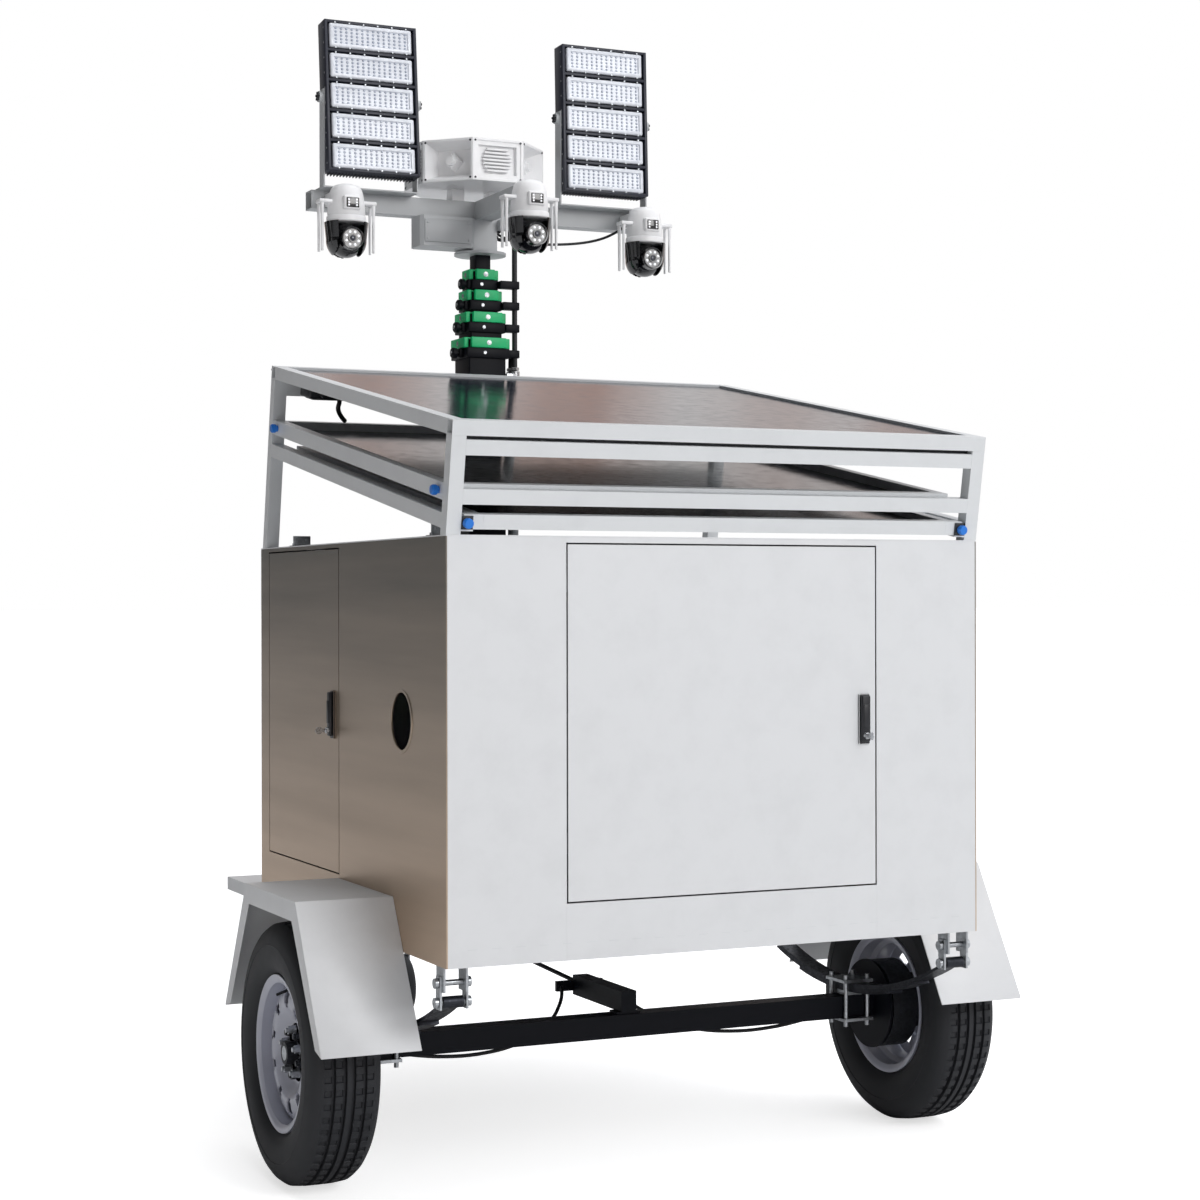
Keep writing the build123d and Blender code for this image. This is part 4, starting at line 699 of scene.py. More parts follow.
def camera_ball(centre):
    shape = bmesh.new()
    dome_in(shape, centre, BALL, u=48, v=32)
    bezel = ((0.036, 0.0), (0.036, 0.0345), (0.060, 0.0335), (0.062, 0.032), (0.0615, 0.029))
    turned_in(shape, (*bezel, (0.0565, 0.0275), (0.0565, 0.0)), centre, BACK, 48)
    tube = ((0.055, 0.0), (0.055, 0.0125), (0.0605, 0.012), (0.0605, 0.0102), (0.058, 0.0095))
    turned_in(shape, (*tube, (0.058, 0.0)), centre, BACK, 32)
    return shape


def camera_eye(centre):
    shape = bmesh.new()
    glass = ((0.0575, 0.0), (0.0575, 0.0092), (0.0592, 0.0068), (0.0602, 0.0034), (0.0605, 0.0))
    turned_in(shape, glass, centre, BACK, 32)
    return shape


def camera_ring(centre):
    shape = bmesh.new()
    for step in range(EYE_RING):
        angle = pi * (0.5 + (step + 0.5) * 2 / EYE_RING)
        spot = centre + Vector((LIGHT_RING * cos(angle), -0.0565, LIGHT_RING * sin(angle)))
        stud_in(shape, spot, BACK, 0.0024, 0.0045, 14, 0.0032)
    return shape


for number in (1, 2, 3):
    centre = camera_centre(number)
    body = camera_body(centre)
    made = piece(f"camera_{number}_body", body, "head", WHITE_PLASTIC)
    if number == 1:
        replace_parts(made, "camera_mounts")
    panel = camera_light_panel(centre)
    piece(f"camera_{number}_light_panel", panel, "head", DOME_GLOSS)
    piece(f"camera_{number}_lights", camera_lights(centre), "head", LENS_DOT)
    yoke, ball = f"camera_{number}_yoke", f"camera_{number}_ball"
    ring = camera_collar(centre)
    collar = piece(f"camera_{number}_collar", ring, yoke, WHITE_PLASTIC)
    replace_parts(collar, yoke)
    piece(f"camera_{number}_shell", camera_shell(centre), yoke, DOME_GLOSS)
    dome = piece(f"camera_{number}_dome", camera_ball(centre), ball, DOME_GLOSS)
    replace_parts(dome, ball)
    piece(f"camera_{number}_eye", camera_eye(centre), ball, EYE_GLASS)
    piece(f"camera_{number}_eye_lights", camera_ring(centre), ball, LENS_DOT)

# %% [markdown]
# ## Speaker
# The speaker is an eight-sided case. Every second face is a square horn with a short throat,
# and the faces between have slats. Insetting a face and pushing it in makes both hollows.

# %% Speaker case
speaker_low, speaker_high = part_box("speaker")
SPEAKER_TALL = 0.125
SPEAKER_FLATS = speaker_high.x - speaker_low.x
speaker_centre = Vector(middle("speaker"))
speaker_centre.z = speaker_high.z - SPEAKER_TALL / 2
shape = bmesh.new()
bmesh.ops.create_cone(
    shape,
    cap_ends=True,
    segments=8,
    radius1=SPEAKER_FLATS / 2 / cos(pi / 8),
    radius2=SPEAKER_FLATS / 2 / cos(pi / 8),
    depth=SPEAKER_TALL,
    matrix=Matrix.Translation(speaker_centre) @ Matrix.Rotation(pi / 8, 4, "Z"),
)
shape.normal_update()
walls = [face for face in shape.faces if abs(face.normal.z) < 0.1]
bmesh.ops.inset_individual(shape, faces=walls, thickness=0.009, depth=0.0)
bmesh.ops.inset_individual(shape, faces=walls, thickness=0.003, depth=-0.003)
horns = [face for face in walls if abs(abs(face.normal.x) - abs(face.normal.y)) < 0.1]
slatted = [face for face in walls if face not in horns]
mouths = [(face.calc_center_median(), face.normal.copy()) for face in horns]
grilles = [(face.calc_center_median(), face.normal.copy()) for face in slatted]
bmesh.ops.inset_individual(shape, faces=horns, thickness=0.024, depth=-0.050)
bmesh.ops.inset_individual(shape, faces=slatted, thickness=0.016, depth=0.0)
bmesh.ops.inset_individual(shape, faces=slatted, thickness=0.002, depth=-0.014)
for turn in (-1, 1):
    foot = Vector((speaker_centre.x + turn * 0.060, MAST_Y, ARM_HIGH))
    top = speaker_high.z - SPEAKER_TALL
    block_in(shape, foot - Vector((0.020, 0.024, 0)), (foot.x + 0.020, MAST_Y + 0.024, top), 0.002)
case = piece("speaker_case", shape, "head", WHITE_PLASTIC, crease=20)
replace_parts(case, "speaker")

# %% Slats, throats and screws
slats, throats, screws = bmesh.new(), bmesh.new(), bmesh.new()
for centre, out in grilles:
    flat = Matrix.Translation(centre) @ out.to_track_quat("X", "Z").to_matrix().to_4x4()
    for slat in range(7):
        rise = (slat - 3) * 0.0105
        part = bmesh.new()
        reach = 0.046 * cos(abs(slat - 3) * 0.25)
        block_in(part, (-0.012, -reach, rise - 0.0030), (0.0005, reach, rise + 0.0030), 0.0008)
        join_in(slats, part, flat)
for centre, out in mouths:
    bar_in(throats, centre - out * 0.050, centre - out * 0.020, 0.030, 4, 0.021)
    bar_in(throats, centre - out * 0.026, centre - out * 0.008, 0.015, 24, 0.012)
for centre, out in mouths + grilles:
    across = out.cross(Vector((0, 0, 1)))
    for turn in (-1, 1):
        for rise in (-0.055, 0.055):
            spot = centre + across * turn * 0.0725 + Vector((0, 0, rise)) + out * 0.0025
            stud_in(screws, spot, out, 0.0016, 0.0032, 12)
piece("speaker_slats", slats, "head", WHITE_PLASTIC)
piece("speaker_throats", throats, "head", WHITE_PLASTIC)
piece("speaker_screws", screws, "head", DRUM_IRON)

# %% [markdown]
# ## Mast
# Each tube ends in four green guide blocks, one on each face, held by a bolt, with a black
# clamp band and a locking knob below them. The tubes nest, so the four sets differ only in
# size, and one function makes them from the tube's width.

# %% Mast sizes
MAST_TUBES = (0.120, 0.102, 0.084, 0.067, 0.050)
MAST_WALL = 0.004
COLLAR_TALL, COLLAR_PROUD = 0.031, 0.014
CLAMP_TALL, CLAMP_PROUD = 0.030, 0.009
MAST_NODES = ("mast_base", "mast_section_2", "mast_section_3", "mast_section_4", "mast_section_5")
MAST_BODIES = ("chassis", "mast_2", "mast_3", "mast_4", "head")
KNOB_Y = -0.020
CLAMP_KNOB = ((0.0, 0.0), (0.0, 0.009), (0.005, 0.009), (0.008, 0.016), (0.020, 0.0165))
CLAMP_KNOB += ((0.023, 0.013), (0.0232, 0.0))
FOOT_HALF, FOOT_TALL = 0.110, 0.0118


# %% Tube, guide blocks and clamps
def square_tube_in(shape, half, low, high):
    part = bmesh.new()
    block_in(part, (-half, MAST_Y - half, low), (half, MAST_Y + half, high))
    part.normal_update()
    ends = [face for face in part.faces if abs(face.normal.z) > 0.9]
    bmesh.ops.delete(part, geom=ends, context="FACES_ONLY")
    upright = [edge for edge in part.edges if abs(edge.verts[0].co.z - edge.verts[1].co.z) > 0.01]
    bmesh.ops.bevel(
        part, geom=upright, offset=0.004, segments=3, profile=0.5, affect="EDGES", material=-1
    )
    bmesh.ops.recalc_face_normals(part, faces=part.faces)
    bmesh.ops.solidify(part, geom=list(part.faces), thickness=MAST_WALL)
    join_in(shape, part)


def guide_blocks(level, low):
    """Four green blocks that leave the tube's corners bare."""
    shape = bmesh.new()
    half = MAST_TUBES[level] / 2 + 0.0004
    inner = MAST_TUBES[level + 1] / 2 + 0.0004
    out = half + COLLAR_PROUD
    reach = half - 0.004
    lid = low + COLLAR_TALL - 0.006
    for turn in range(4):
        part = bmesh.new()
        block_in(part, (half, -reach, low), (out, reach, low + COLLAR_TALL), 0.002, 3)
        block_in(part, (inner, -inner, lid), (half + 0.002, inner, low + COLLAR_TALL), 0.001)
        join_in(shape, part, quarter_turn(turn))
    return shape


def guide_bolts(level, low):
    shape = bmesh.new()
    out = MAST_TUBES[level] / 2 + COLLAR_PROUD + 0.0004
    for turn in range(4):
        facing = Vector((cos(turn * pi / 2), sin(turn * pi / 2), 0))
        spot = Vector((0, MAST_Y, low + COLLAR_TALL / 2)) + facing * (out - 0.001)
        stud_in(shape, spot, facing, 0.0028, 0.0052, 6)
        stud_in(shape, spot, facing, 0.0014, 0.0075, 20)
    knob = Vector((-MAST_TUBES[level] / 2 - CLAMP_PROUD, MAST_Y + KNOB_Y, low - CLAMP_TALL / 2))
    knob.x -= 0.0325
    bar_in(shape, knob, knob - Vector((0.003, 0, 0)), 0.0068, 20)
    front_bolt = Vector((-0.012, MAST_Y - MAST_TUBES[level] / 2 - CLAMP_PROUD, knob.z))
    bar_in(shape, front_bolt, front_bolt - Vector((0, 0.0026, 0)), 0.0050, 20)
    return shape


def clamp_band_in(shape, level, low):
    half = MAST_TUBES[level] / 2 + 0.0002
    out = half + CLAMP_PROUD
    top = low - 0.0002
    for turn in range(4):
        part = bmesh.new()
        block_in(part, (half, -out + 0.001, top - CLAMP_TALL), (out, out - 0.001, top), 0.002, 2)
        join_in(shape, part, quarter_turn(turn))
    knob = Vector((-out - 0.010, MAST_Y + KNOB_Y, top - CLAMP_TALL / 2))
    turned_in(shape, CLAMP_KNOB, knob, (-1, 0, 0), 24)
    lug = Vector((-out - 0.002, MAST_Y + KNOB_Y, top - CLAMP_TALL / 2))
    lug_high = lug + Vector((0.004, 0.014, 0.0142))
    block_in(shape, lug - Vector((0.010, 0.014, 0.0142)), lug_high, 0.003)
    saddle = Vector((out, MAST_Y - 0.052, top - CLAMP_TALL / 2))
    low_corner = (out - 0.002, saddle.y - 0.013, saddle.z - 0.012)
    block_in(shape, low_corner, (0.104, saddle.y + 0.013, saddle.z + 0.012), 0.003)


CABLE_X, CABLE_Y = middle("mast_cable").x, middle("mast_cable").y
for level, (node, body) in enumerate(zip(MAST_NODES, MAST_BODIES)):
    low_corner, high_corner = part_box(node)
    foot, top = low_corner.z, high_corner.z
    shape = bmesh.new()
    if level == 0:
        foot += FOOT_TALL
        plate_low = (-FOOT_HALF, MAST_Y - FOOT_HALF, low_corner.z)
        block_in(shape, plate_low, (FOOT_HALF, MAST_Y + FOOT_HALF, foot), 0.003)
    if level < 4:
        collar = top - COLLAR_TALL
        square_tube_in(shape, MAST_TUBES[level] / 2, foot, top - 0.0064)
        clamp_band_in(shape, level, collar)
        blocks = guide_blocks(level, collar)
        piece(f"{node}_guide_blocks", blocks, body, GREEN_BLOCK)
        piece(f"{node}_guide_bolts", guide_bolts(level, collar), body, ZINC)
    else:
        square_tube_in(shape, MAST_TUBES[level] / 2, foot, top)
    tube = piece(f"{node}_tube", shape, body, MAST_BLACK)
    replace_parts(tube, node)

# %% [markdown]
# Two conduits stand beside the base tube. The front one ends in an open mouth where the mast
# cable comes out, and the rear one bends over into the clamp. A curve with a round bevel
# makes a bent pipe, and it is turned into a mesh so that it behaves like every other piece.


# %% Bent pipes
def pipe(name, points, radius, body, material, sides=6):
    """A round pipe along a smooth line through the points."""
    curve = bpy.data.curves.new(name, "CURVE")
    curve.dimensions = "3D"
    curve.bevel_depth = radius
    curve.bevel_resolution = sides
    curve.use_fill_caps = True
    line = curve.splines.new("NURBS")
    line.points.add(len(points) - 1)
    for point, place in zip(line.points, points):
        point.co = (*place, 1.0)
    line.order_u = 3
    line.use_endpoint_u = True
    line.resolution_u = 10
    holder = bpy.data.objects.new(name, curve)
    bpy.context.scene.collection.objects.link(holder)
    graph = bpy.context.evaluated_depsgraph_get()
    mesh = bpy.data.meshes.new_from_object(holder.evaluated_get(graph))
    bpy.data.objects.remove(holder)
    bpy.data.curves.remove(curve)
    shape = bmesh.new()
    shape.from_mesh(mesh)
    bpy.data.meshes.remove(mesh)
    return piece(name, shape, body, material)


DECK_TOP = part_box("front_deck")[1].z
MOUTH = 2.190
CONDUIT_GAP = 0.028
for number, shift in ((1, CONDUIT_GAP), (2, 0.0)):
    foot = Vector((CABLE_X, CABLE_Y + shift, DECK_TOP + 0.0004))
    points = [foot, foot + Vector((0, 0, 0.7))]
    points += [(foot.x, foot.y, MOUTH - short) for short in (0.14, 0.05)]
    pipe(f"mast_conduit_{number}", points, 0.0108, "chassis", CABINET_GREY)
clips = bmesh.new()
for level in (1.100, 1.700, 2.120):
    low = (MAST_TUBES[0] / 2 + 0.0002, CABLE_Y - 0.014, level)
    block_in(clips, low, (CABLE_X - 0.002, CABLE_Y + 0.042, level + 0.020), 0.002)
    for shift in (CONDUIT_GAP, 0.0):
        stud_in(clips, Vector((CABLE_X, CABLE_Y + shift, level)), UP, 0.020, 0.0145)
bend = Vector((CABLE_X, CABLE_Y, MOUTH - 0.055))
for shift in (CONDUIT_GAP, 0.0):
    spot = bend + Vector((0, shift, 0))
    stud_in(clips, spot, UP, 0.012, 0.0150)
    bar_in(clips, spot + UP * 0.015, spot + UP * 0.024, 0.0135, 6)
piece("mast_conduit_clips", clips, "chassis", BRIGHT_STEEL)
pipe(
    "mast_conduit_bend",
    [
        (CABLE_X, CABLE_Y + CONDUIT_GAP, MOUTH - 0.05),
        (CABLE_X, CABLE_Y + CONDUIT_GAP, MOUTH - 0.02),
        (CABLE_X, CABLE_Y + 0.026, MOUTH + 0.004),
        (CABLE_X - 0.008, CABLE_Y + 0.022, MOUTH + 0.016),
        (CABLE_X - 0.016, CABLE_Y + 0.020, MOUTH + 0.018),
    ],
    0.009,
    "chassis",
    SLEEVE,
)

# %% [markdown]
# The mast cable runs from one clamp to the next. When the mast rises, each stretch grows
# between two neighbouring sections, so there are four stretches; each one is a straight
# sleeve cut into ten rings, fixed in place with no body.

# %% Mast cable
cable_stops = [MOUTH - 0.055]
for node in MAST_NODES[1:4]:
    cable_stops.append(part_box(node)[1].z - COLLAR_TALL - CLAMP_TALL / 2)
cable_stops.append(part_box("mast_cable")[1].z)
for number in range(4):
    low, high = cable_stops[number], cable_stops[number + 1]
    shape = bmesh.new()
    bar_in(shape, (CABLE_X, CABLE_Y, low), (CABLE_X, CABLE_Y, high + 0.004), 0.008, 20)
    for step in range(1, 10):
        level = low + (high - low) * step / 10
        bmesh.ops.bisect_plane(
            shape,
            geom=shape.verts[:] + shape.edges[:] + shape.faces[:],
            plane_co=(0, 0, level),
            plane_no=(0, 0, 1),
        )
    stretch = piece(f"mast_cable_{number + 1}", shape, None, SLEEVE)
    ends = [(CABLE_X, CABLE_Y, low + 0.004), (CABLE_X, CABLE_Y, high - 0.004)]
    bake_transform(stretch)
    if number == 0:
        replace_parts(stretch, "mast_cable")

# %% [markdown]
# ## Road wheels
# The tyre is a turned section with a flat tread, four grooves and rounded shoulders. Pushing
# every other face of four ribs a few millimetres inwards gives the tread its blocks.
# The rim's windows are real holes: faces of the turned disc are deleted before it gets its
# thickness.

# %% Tyre
TREAD_STEPS = 120
RIBS = ((0.016, 0.034), (0.044, 0.062))
TREAD = (
    (0.0695, 0.1790), (0.0700, 0.1960), (0.0760, 0.2020), (0.0840, 0.2110), (0.0900, 0.2300),
    (0.0924, 0.2500), (0.0920, 0.2660), (0.0935, 0.2680), (0.0925, 0.2720), (0.0905, 0.2850),
    (0.0860, 0.2990), (0.0780, 0.3100), (0.0690, 0.3170), (0.0620, 0.3215), (0.0440, 0.3236),
    (0.0425, 0.3160), (0.0355, 0.3160), (0.0340, 0.3246), (0.0160, 0.3250), (0.0145, 0.3170),
    (0.0075, 0.3170), (0.0060, 0.3250),
)


def tyre(centre, out):
    shape = bmesh.new()
    section = [*TREAD, *((-along, radius) for along, radius in reversed(TREAD))]
    section += [(-0.0580, 0.1790), (-0.0580, 0.2050), (0.0580, 0.2050), (0.0580, 0.1790)]
    turned_in(shape, section, centre, out, TREAD_STEPS, closed=True)
    bmesh.ops.recalc_face_normals(shape, faces=shape.faces)
    ribs = []
    for face in shape.faces:
        offset = face.calc_center_median() - centre
        along = abs(offset.dot(out))
        if face.normal.dot(offset.normalized()) > 0.7 and offset.length > 0.315:
            angle = Vector((offset.y, offset.z)).angle_signed(Vector((1, 0)))
            turn = int((angle + pi) / (2 * pi) * TREAD_STEPS)
            if turn % 2 == 0 and any(inner < along < outer for inner, outer in RIBS):
                ribs.append(face)
    bmesh.ops.inset_individual(shape, faces=ribs, thickness=0.0022, depth=-0.0035)
    return shape


# %% Rim with real windows
WINDOWS = 10
RIM_STEPS = 120


def rim(centre, out):
    shape = bmesh.new()
    disc = (
        (0.028, 0.030), (0.028, 0.052), (0.028, 0.072), (0.033, 0.086), (0.044, 0.100),
        (0.052, 0.112), (0.054, 0.122), (0.053, 0.138), (0.049, 0.150), (0.042, 0.162),
        (0.034, 0.1700),
    )
    turned_in(shape, disc, centre, out, RIM_STEPS)
    doomed = []
    for face in shape.faces:
        offset = face.calc_center_median() - centre
        radial = offset - out * offset.dot(out)
        angle = Vector((radial.y, radial.z)).angle_signed(Vector((1, 0)))
        turn = int((angle + pi) / (2 * pi) * RIM_STEPS) % (RIM_STEPS // WINDOWS)
        wide = 3 if radial.length < 0.122 else 5 if radial.length < 0.138 else 6
        if 0.112 < radial.length < 0.150 and abs(turn - 4) * 2 < wide:
            doomed.append(face)
    bmesh.ops.delete(shape, geom=doomed, context="FACES")
    bmesh.ops.recalc_face_normals(shape, faces=shape.faces)
    bmesh.ops.solidify(shape, geom=list(shape.faces), thickness=0.004)
    barrel = (
        (-0.0765, 0.1945), (-0.0700, 0.1945), (-0.0690, 0.1800), (-0.0600, 0.1775),
        (-0.0300, 0.1775), (-0.0200, 0.1640), (0.0200, 0.1640), (0.0300, 0.1775),
        (0.0600, 0.1775), (0.0690, 0.1800), (0.0700, 0.1945), (0.0765, 0.1945),
        (0.0770, 0.1900), (0.0735, 0.1800), (0.0690, 0.1740), (0.0320, 0.1735),
        (0.0230, 0.1605), (-0.0230, 0.1605), (-0.0320, 0.1735), (-0.0690, 0.1740),
        (-0.0735, 0.1800), (-0.0770, 0.1900),
    )
    turned_in(shape, barrel, centre, out, RIM_STEPS, closed=True)
    return shape


# %% Nuts and grease cap
NUTS = 5
NUT_CIRCLE = 0.056


def wheel_nuts(centre, out):
    shape = bmesh.new()
    for nut in range(NUTS):
        spoke = Matrix.Rotation(nut * 2 * pi / NUTS, 3, out) @ UP
        seat = centre + out * 0.0335 + spoke * NUT_CIRCLE
        stud_in(shape, seat, out, 0.006, 0.0125, tip=0.0115)
        bar_in(shape, seat + out * 0.006, seat + out * 0.019, 0.0112, 6, 0.0104)
        bar_in(shape, seat + out * 0.019, seat + out * 0.025, 0.0068, 16, 0.006)
    cap = ((0.029, 0.0), (0.029, 0.0285), (0.033, 0.0280), (0.052, 0.0265), (0.058, 0.0220))
    turned_in(shape, (*cap, (0.0622, 0.0180), (0.0625, 0.0)), centre, out, 32)
    return shape


for name, side_sign in WHEEL_SIDES.items():
    centre = Vector(middle(f"{name}_tyre"))
    out = Vector((side_sign, 0, 0))
    body = f"{name}_wheel"
    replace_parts(piece(f"{name}_road_tyre", tyre(centre, out), body, RUBBER), f"{name}_tyre")
    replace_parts(piece(f"{name}_road_rim", rim(centre, out), body, RIM_COAT), f"{name}_rim")
    piece(f"{name}_wheel_nuts", wheel_nuts(centre, out), body, ZINC)
    valve = centre + out * 0.052 + Vector((0, 0.0, 0.156))
    shape = bmesh.new()
    bar_in(shape, valve, valve + out * 0.030 - Vector((0, 0, 0.010)), 0.0042, 12, 0.0036)
    piece(f"{name}_valve", shape, body, SLEEVE)

# %% [markdown]
# ## Mudguards
# A mudguard is one folded sheet. Its side view is a line of four points, bridged across the
# wheel, and its outer edge is folded down into a lip. Solidify gives the sheet its
# thickness, and a small bevel catches the light along the folds.

# %% Folded mudguards
guard_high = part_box("fenders")[1]
GUARD_SHEET = 0.003
GUARD_PLAN = [REAR + place for place in (0.160, 0.362, 0.782, 0.974)]
GUARD_SIDE = list(zip(GUARD_PLAN, (0.386, guard_high.z, guard_high.z, 0.386)))
GUARD_LIP = 0.050
LIP_PULL = ((0.0475, 0.011), (0.028, -GUARD_LIP), (-0.028, -GUARD_LIP), (-0.0475, 0.011))
for name, side_sign in WHEEL_SIDES.items():
    shape = bmesh.new()
    inner_x, outer_x = side_sign * (HALF + 0.0004), side_sign * (guard_high.x - 0.0004)
    rows = []
    for x in (inner_x, outer_x):
        verts = [shape.verts.new((x, y, z)) for y, z in GUARD_SIDE]
        rows.append([shape.edges.new(pair) for pair in zip(verts, verts[1:])])
    bmesh.ops.bridge_loops(shape, edges=rows[0] + rows[1])
    outer = [edge for edge in rows[1] if edge.is_valid]
    lip = bmesh.ops.extrude_edge_only(shape, edges=outer)["geom"]
    lip_verts = sorted((v for v in lip if isinstance(v, bmesh.types.BMVert)), key=lambda v: v.co.y)
    for vert, (pull_y, pull_z) in zip(lip_verts, LIP_PULL):
        vert.co += Vector((0, pull_y, pull_z))
    bmesh.ops.recalc_face_normals(shape, faces=shape.faces)
    guard = piece(f"{name}_mudguard", shape, "chassis", WHITE_COAT, crease=25)
    sheet = guard.modifiers.new("sheet", "SOLIDIFY")
    sheet.thickness = GUARD_SHEET
    sheet.offset = -1.0
    fold = guard.modifiers.new("fold", "BEVEL")
    fold.width = 0.0012
    fold.segments = 2
    if name == "left":
        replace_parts(guard, "fenders")

# %% [markdown]
# ## Locks, keys and knobs
# The door locks have a black plate with a long rounded lever and a steel key. The four pull
# knobs are blue, with a ribbed grip on a steel pin. All of them stand proud of the sheet, so
# their edges are well rounded.


# %% Door locks
LOCK_Z, KEY_Z = 1.1975, -0.0880
LOCKS = {
    "rear_door_lever": (0.390, REAR, LOCK_Z),
    "left_door_lever": (-HALF, REAR + 0.822, LOCK_Z),
}
TONGUE = {"rear_door_lever": 0.030, "left_door_lever": 0.038}


def lock_set(door_body, lever_node, out):
    """The plate rides on the door, and the lever and key ride on the lever's own body."""
    along = Vector((1, 0, 0)) if out.y else Vector((0, -1, 0))
    centre = Vector(LOCKS[lever_node])
    place = Matrix((along, -out, Vector((0, 0, 1)))).transposed().to_4x4()
    place.translation = centre
    plate = bmesh.new()
    block_in(plate, (-0.0160, -0.0056, -0.1100), (0.0160, -0.0001, 0.0160), 0.003, 3)
    piece(f"{lever_node}_plate", plate, door_body, BLACK_PLASTIC, place)
    lever = bmesh.new()
    block_in(lever, (-0.0125, -0.0150, -0.1030), (0.0125, -0.0058, 0.0125), 0.004, 3)
    block_in(lever, (-0.0085, -0.0175, -0.0700), (0.0085, -0.0130, -0.0100), 0.002, 2)
    bar_in(lever, (0, -0.006, 0), (0, 0.031, 0), 0.006, 20)
    block_in(lever, (-0.010, 0.0252, -0.010), (TONGUE[lever_node], 0.0288, 0.010), 0.001)
    handle = piece(f"{lever_node}_handle", lever, lever_node, BLACK_PLASTIC, place)
    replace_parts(handle, lever_node)
    key = bmesh.new()
    bar_in(key, (0, -0.0145, KEY_Z), (0, -0.0210, KEY_Z), 0.0090, 28, 0.0082)
    block_in(key, (-0.0010, -0.0390, KEY_Z - 0.005), (0.0010, -0.0205, KEY_Z + 0.005), 0.0006)
    bar_in(key, (-0.0011, -0.0400, KEY_Z), (0.0011, -0.0400, KEY_Z), 0.0095, 24)
    piece(f"{lever_node}_key", key, lever_node, BRIGHT_STEEL, place)


lock_set("rear_door", "rear_door_lever", BACK)
lock_set("left_door", "left_door_lever", Vector((-1, 0, 0)))


# %% Pull knobs
def pull_knob(node, facing):
    seat = middle(node) + facing * 0.0031
    shape = bmesh.new()
    grip = ((0.0, 0.0), (0.0, 0.0085), (0.004, 0.0095), (0.0065, 0.0118), (0.0170, 0.0120))
    turned_in(shape, (*grip, (0.0195, 0.0100), (0.0200, 0.0)), seat, facing, 32)
    rib_out = facing.orthogonal().normalized()
    for rib in range(12):
        spoke = Matrix.Rotation(rib * pi / 6, 3, facing) @ rib_out
        start = seat + facing * 0.0075 + spoke * 0.0112
        stud_in(shape, start, facing, 0.009, 0.0014, 8)
    made = piece(f"{node}_grip", shape, node, BLUE_PLASTIC)
    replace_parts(made, node)
    pin = bmesh.new()
    bar_in(pin, seat, seat - facing * 0.025, 0.0040, 16)
    bar_in(pin, seat + facing * 0.0004, seat + facing * 0.0022, 0.0090, 6)
    piece(f"{node}_pin", pin, node, ZINC)


DOWN_SLOPE = Vector((0, -cos(SLOPE), -sin(SLOPE)))
for end in ("rear", "front"):
    pull_knob(f"left_drawer_knob_{end}", Vector((-1, 0, 0)))
for end in ("left", "right"):
    pull_knob(f"rear_drawer_knob_{end}", DOWN_SLOPE)

# %% [markdown]
# ## Under the top panel and round the roof
# The top panel has a black junction box near its front left corner, and a dark lead curves
# down from it to the drawer below. Two small angle brackets stand on the roof under the lower
# rail, and a black strip in the narrow slot between the two top rails is painted shade: it
# stands in for the shade inside that gap.

# %% Junction box and lead
CAGE_LOW, CAGE_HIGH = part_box("solar_cage")
PANEL_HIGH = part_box("top_panel")[1]
TILT = Matrix.Rotation(SLOPE, 4, "X")
under_front = Vector((-0.600, PANEL_HIGH.y - 0.075, PANEL_HIGH.z - 0.054))
shape = bmesh.new()
block_in(shape, (-0.062, -0.045, -0.030), (0.062, 0.045, 0.002), 0.006, 3)
block_in(shape, (-0.050, -0.033, -0.034), (0.050, 0.033, -0.029), 0.003, 2)
for turn in (-1, 1):
    bar_in(shape, (turn * 0.025, -0.044, -0.015), (turn * 0.025, -0.066, -0.017), 0.010, 20, 0.008)
box_turn = Matrix.Translation(under_front) @ TILT
piece("junction_box", shape, "chassis", BLACK_PLASTIC, box_turn)
lead = [under_front + Vector(step) for step in ((0.010, -0.060, -0.026), (0.012, -0.095, -0.040))]
lead += [under_front + Vector(step) for step in ((0.0, -0.090, -0.075), (0.035, -0.060, -0.098))]
pipe("panel_lead", lead, 0.0065, "chassis", SLEEVE)

# %% Roof brackets
shape = bmesh.new()
for place in (REAR + 0.160, REAR + 1.250):
    block_in(shape, (-0.700, place, ROOF), (-0.650, place + 0.004, ROOF + 0.030), 0.0012)
    block_in(shape, (-0.700, place, ROOF + 0.0002), (-0.650, place + 0.040, ROOF + 0.004), 0.0012)
    for x in (-0.688, -0.662):
        bar_in(shape, (x, place + 0.024, ROOF + 0.004), (x, place + 0.024, ROOF + 0.010), 0.0075, 6)
        bar_in(shape, (x, place + 0.024, ROOF + 0.010), (x, place + 0.024, ROOF + 0.016), 0.004, 16)
        bar_in(shape, (x, place + 0.001, ROOF + 0.018), (x, place - 0.004, ROOF + 0.018), 0.006, 6)
piece("roof_brackets", shape, "chassis", ZINC)

# %% Painted shade strip in the rail slot, and cage bolts
SLOT_LOW, SLOT_HIGH = 0.2205, 0.2288
cage_frame = Matrix.Translation((0, REAR, ROOF)) @ TILT
shape = bmesh.new()
